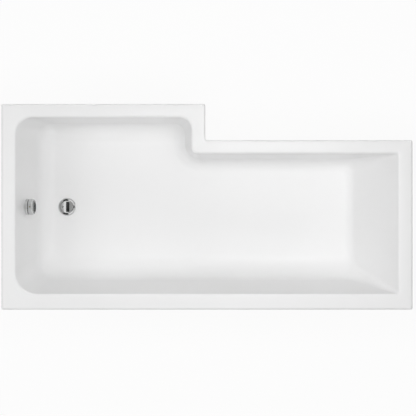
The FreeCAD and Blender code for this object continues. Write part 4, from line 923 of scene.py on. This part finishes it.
class WasteOperator(bpy.types.Operator):
    """Make the chrome waste flange and plug, and refine the pieces under the floor"""

    bl_idname = "shower_bath.waste"
    bl_label = "Waste"

    def execute(self, context):
        size = settings().fittings
        where = waste_frame()
        flange = turned("waste_flange_piece", WASTE_FLANGE, where)
        combine(flange, spokes("guide", where, reach=0.021, bar=0.004, hub=0.007, bore=0.0041, low=-0.017,
                               high=-0.011), "UNION")
        settle(flange, "waste_flange")
        under, brim = 0.0048, 0.0068
        edge = [(0, under, 0), (size.plug_radius, under, 0.0005), (size.plug_radius, brim, 0.0007)]
        profile = edge + dome(size.plug_radius, brim, size.plug_crown)
        settle(turned("plug_cap_piece", profile, where, closed=False), "plug_cap")
        refine(FINE_EDGE, "waste_upper_seal", "waste_lower_seal", "plug_seal", "stem_adjuster", "plug_stem",
               "rocker_pin")
        refine(ROCKER_EDGE, "lift_rocker")
        body = from_bmesh("waste_body_piece", merged_copy("waste_body"))
        soften(body, MOULDED_EDGE)
        self.cut_thread(body, size, where.translation)
        settle(body, "waste_body")
        return {"FINISHED"}

    def cut_thread(self, body, size, centre):
        """Cut the trap's thread into the outlet at the foot of the waste body."""
        foot = Vector((centre.x, centre.y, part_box("waste_body")[0].z))
        past, chamfer, margin = 0.002, 0.0034, 0.001
        thread = threaded("outlet_thread", "white_plastic", Place=foot - Vector((0, 0, past)),
                          Radius=size.outlet_radius - STEP / 2, Length=size.outlet_thread + 4 * past,
                          Pitch=size.outlet_pitch, Depth=size.outlet_groove, Chamfer=chamfer,
                          Sides=size.outlet_sides)
        cutter = rod("outlet_cutter", size.outlet_radius + margin, -past / 2, size.outlet_thread,
                     Matrix.Translation(foot), sides=60)
        combine(cutter, thread, "DIFFERENCE")
        combine(body, cutter, "DIFFERENCE")


class OverflowOperator(bpy.types.Operator):
    """Make the chrome overflow flange and knob, and refine the pieces behind the end wall"""

    bl_idname = "shower_bath.overflow"
    bl_label = "Overflow"

    def execute(self, context):
        where = overflow_frame()
        flange = turned("overflow_flange_piece", OVERFLOW_FLANGE, where)
        combine(flange, spokes("bearing", where, reach=0.021, bar=0.004, hub=0.0085, bore=0.0051, low=0.0003,
                               high=0.0053), "UNION")
        settle(flange, "overflow_flange")
        self.knob(settings().fittings, where)
        refine(FINE_EDGE, "overflow_gasket", "knob_spindle", "knob_grub_screw")
        refine(MOULDED_EDGE, "overflow_elbow", "pipe_nut_upper", "pipe_nut_lower")
        refine(FINE_EDGE, "overflow_pipe")
        return {"FINISHED"}

    def knob(self, size, where):
        """Hollow knob on a bored boss, with its grub screw's holes and an unplated inside in near black,
        which is painted shade in the grub hole.
        """
        bore, boss, wall, radius = 0.0051, 0.009, 0.0025, size.knob_radius
        skirt, boss_end, grub, inside, front = 0.014, 0.017, 0.023, 0.029, 0.032
        made = turned("overflow_knob_piece", [
            (0, inside, 0), (bore, inside, 0.0002), (bore, boss_end, 0.0003), (boss, boss_end, 0.0005),
            (boss, inside, 0.0008), (radius - wall, inside, 0.0008), (radius - wall, skirt, 0.0003),
            (radius, skirt, 0.0008), (radius, front, size.knob_round), (0, front, 0)], where, closed=False)
        upwards = where @ Matrix.Translation((0, 0, grub)) @ Matrix.Rotation(-math.pi / 2, 4, "Y")
        # Radius, start and end of the way in through the skirt and of the hole through the boss.
        holes = {"grub_access": (0.003, radius - 0.005, radius + 0.002),
                 "grub_thread": (0.0021, 0.003, 0.0105)}
        for name, (hole, start, end) in holes.items():
            combine(made, rod(name, hole, start, end, upwards), "DIFFERENCE")
        settle(made, "overflow_knob")
        made.data.materials.append(stock()["cast_metal"])
        # Faces within the skirt's wall and behind the front carry no plating; their near-black colour is
        # painted shade that darkens the grub hole.
        own_frame = where.inverted()
        within = radius - 0.8 * wall
        for face in made.data.polygons:
            spot = own_frame @ face.center
            if spot.xy.length < within and spot.z < (inside + front) / 2:
                face.material_index = 1


# Leg set and timber

class LegOperator(bpy.types.Operator):
    """Make threaded studs, feet, nuts, washers and screws, and refine rails and bracket"""

    bl_idname = "shower_bath.legs"
    bl_label = "Leg set"

    def execute(self, context):
        size = settings().legs
        for leg in LEGS:
            self.stud(f"stud_{leg}", size)
            foot = f"foot_{leg}"
            settle(turned(f"{foot}_piece", FOOT, Matrix.Translation(axis_point(foot, 0)), closed=False), foot)
        fasteners = {"leg_washers": turned("washer", WASHER, sides=64), "lock_nuts": self.nut(size),
                     "frame_screws": self.screw()}
        tree = copies_tree()
        for node, piece in fasteners.items():
            soften(piece)
            points = bpy.data.meshes.new(f"{node}_places")
            points.from_pydata([(low + high) / 2 for low, high in islands(node)], [], [])
            made = grow(f"{node}_piece", points, tree, Copy=piece, Turn=size.copy_turn, Seed=size.copy_seed,
                        Material=stock()["zinc_fasteners"])
            bpy.data.objects.remove(piece)
            place(made, node)
        refine(0, "shower_rail", "slope_rail", "centre_bracket")
        return {"FINISHED"}

    def stud(self, node, size):
        """Threaded stud as long and wide as its CAD node."""
        low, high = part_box(node)
        made = threaded(f"{node}_piece", "zinc_fasteners", Place=axis_point(node, low.z),
                        Radius=(high.x - low.x) / 2, Length=high.z - low.z, Pitch=size.thread_pitch,
                        Depth=size.thread_depth, Chamfer=size.stud_chamfer, Sides=size.stud_sides)
        smooth(made)
        place(made, node)

    def nut(self, size):
        """Hexagon nut about its own middle with chamfered corners and a countersunk bore."""
        half, bore, mouth, sink, past = 0.005, 0.0061, 0.0075, 0.0009, 0.001
        flat_share, slope, clear = 0.96, math.radians(30), 0.0001
        outer = size.nut_flats / math.sqrt(3)
        flat = size.nut_flats / 2 * flat_share
        drop = (outer - flat) * math.tan(slope)
        made = turned("lock_nut", mirrored((0, -half, 0), (outer, -half, 0)), sides=6, closed=False)
        chamfer = mirrored((0, -half, 0), (flat, -half, 0), (outer + clear, drop - half, 0))
        combine(made, turned("nut_chamfer", chamfer, closed=False), "INTERSECT")
        hole = mirrored((0, -half - past, 0), (mouth, -half - past, 0), (bore, sink - half, 0))
        combine(made, turned("nut_bore", hole, closed=False), "DIFFERENCE")
        return made

    def screw(self):
        """Pan-head screw about its own middle, head down, with a cross recess."""
        made = turned("frame_screw", SCREW, sides=40, closed=False)
        head = Matrix.Translation((0, 0, SCREW[0][1]))
        recess_length, recess_width, recess_depth = 0.0046, 0.001, 0.003
        for turn, depth in ((0, recess_depth), (math.pi / 2, recess_depth - STEP)):
            where = head @ Matrix.Rotation(turn, 4, "Z")
            combine(made, block("recess", (recess_length, recess_width, depth), where), "DIFFERENCE")
        return made


class TimberOperator(bpy.types.Operator):
    """Refine the chipboard baseboard and the timber battens"""

    bl_idname = "shower_bath.timber"
    bl_label = "Timber"

    def execute(self, context):
        refine(BOARD_EDGE, "baseboard")
        refine(TIMBER_EDGE, "back_batten", "shower_batten", "narrow_batten")
        return {"FINISHED"}


# Stage

class StageOperator(bpy.types.Operator):
    """Make the camera, the white floor and the lights"""

    bl_idname = "shower_bath.stage"
    bl_label = "Stage"

    def execute(self, context):
        stage = settings().stage
        scene = context.scene
        camera = add_object("camera", bpy.data.cameras.new("camera"))
        camera.location = stage.camera_place
        camera.data.lens = stage.lens
        camera.data.clip_end = 100
        scene.camera = camera
        scene.view_settings.view_transform = "Standard"
        sides = (stage.floor_size, stage.floor_size)
        self.sheet("floor", (0, 0, 0), sides, self.floor_material(stage.white_share))
        for name, card in CARDS.items():
            self.card(name, *card)
        for name, lamp in LAMPS.items():
            self.lamp(name, stage.lamp_level, *lamp)
        self.room(scene, stage.room_light)
        return {"FINISHED"}

    def sheet(self, name, middle, sides, material):
        """Flat level rectangle of the stage."""
        x, y, z = middle
        half_x, half_y = sides[0] / 2, sides[1] / 2
        work = bmesh.new()
        corners = ((-half_x, -half_y), (half_x, -half_y), (half_x, half_y), (-half_x, half_y))
        work.faces.new([work.verts.new((x + across, y + along, z)) for across, along in corners])
        made = from_bmesh(name, work)
        made.data.materials.append(material)
        return made

    def card(self, name, middle, sides, grey):
        """Card that shows in polished faces and nowhere else."""
        made = self.sheet(name, middle, sides, new_material(name, (grey, grey, grey), *CARD_FINISH))
        made.visible_camera = False
        made.visible_diffuse = False
        made.visible_transmission = False
        made.visible_shadow = False

    def seen(self, tree):
        """One for rays that show the background: camera, mirror and glass rays."""
        rays = add_node(tree, "ShaderNodeLightPath").outputs
        shown = maths(tree, "MAXIMUM", rays["Is Camera Ray"], rays["Is Glossy Ray"])
        return maths(tree, "MAXIMUM", shown, rays["Is Transmission Ray"])

    def floor_material(self, share):
        """Pale floor that keeps its shadow, shows nearly white and is clear from below."""
        material, tree, surface = blank_material("white_floor")
        mottle = add_node(tree, "ShaderNodeGroup", node_tree=mottle_group(), Scale=2.0, Low=0.6, High=0.7)
        tree.links.new(mix_colours(tree, mottle.outputs["Mask"], *FLOOR_TINTS), surface.inputs["Base Color"])
        tree.links.new(mottle.outputs["Value"], surface.inputs["Roughness"])
        glow = add_node(tree, "ShaderNodeEmission", Color=WHITE, Strength=1.0)
        part = maths(tree, "MULTIPLY", self.seen(tree), share)
        shown = mix_shaders(tree, part, surface, glow)
        behind = add_node(tree, "ShaderNodeNewGeometry").outputs["Backfacing"]
        one_sided = mix_shaders(tree, behind, shown, add_node(tree, "ShaderNodeBsdfTransparent"))
        tree.links.new(one_sided.outputs[0], tree.nodes["Material Output"].inputs["Surface"])
        return material

    def lamp(self, name, level, spot, aim, sides, power, gloss):
        """Area lamp that no camera sees, and that lights either the gloss or all but the gloss."""
        data = bpy.data.lights.new(name, "AREA")
        data.shape = "RECTANGLE"
        data.size, data.size_y = sides
        data.energy = power * level
        lamp = add_object(name, data)
        lamp.location = spot
        lamp.rotation_euler = (Vector(aim) - Vector(spot)).to_track_quat("-Z", "Y").to_euler()
        lamp.visible_camera = False
        lamp.visible_glossy = gloss
        lamp.visible_diffuse = not gloss

    def room(self, scene, strength):
        """Even light all round, which shows as white."""
        world = bpy.data.worlds.new("room")
        scene.world = world
        world.use_nodes = True
        tree = world.node_tree
        even = tree.nodes["Background"]
        even.inputs["Color"].default_value = WHITE
        even.inputs["Strength"].default_value = strength
        white = add_node(tree, "ShaderNodeBackground", Color=WHITE, Strength=1.0)
        mixed = mix_shaders(tree, self.seen(tree), even, white)
        tree.links.new(mixed.outputs[0], tree.nodes["World Output"].inputs["Surface"])


class ShowerBathPanel(bpy.types.Panel):
    """Lists the makers of the bath's pieces"""

    bl_idname = "VIEW3D_PT_shower_bath"
    bl_label = "Shower Bath"
    bl_space_type = "VIEW_3D"
    bl_region_type = "UI"
    bl_category = "Shower Bath"

    def draw(self, context):
        for maker in MAKERS:
            self.layout.operator(maker.bl_idname)


MAKERS = (StageOperator, ShellOperator, WasteOperator, OverflowOperator, LegOperator, TimberOperator)
CLASSES = (ShellSizes, FittingSizes, LegSizes, BathColours, StageSizes, ShowerBath, *MAKERS, ShowerBathPanel)


def register():
    for entry in CLASSES:
        bpy.utils.register_class(entry)
    bpy.types.Scene.shower_bath = PointerProperty(type=ShowerBath)


def unregister():
    del bpy.types.Scene.shower_bath
    for entry in reversed(CLASSES):
        bpy.utils.unregister_class(entry)


def main():
    register()
    for maker in MAKERS:
        group, name = maker.bl_idname.split(".")
        getattr(getattr(bpy.ops, group), name)()


if __name__ == "__main__":
    main()
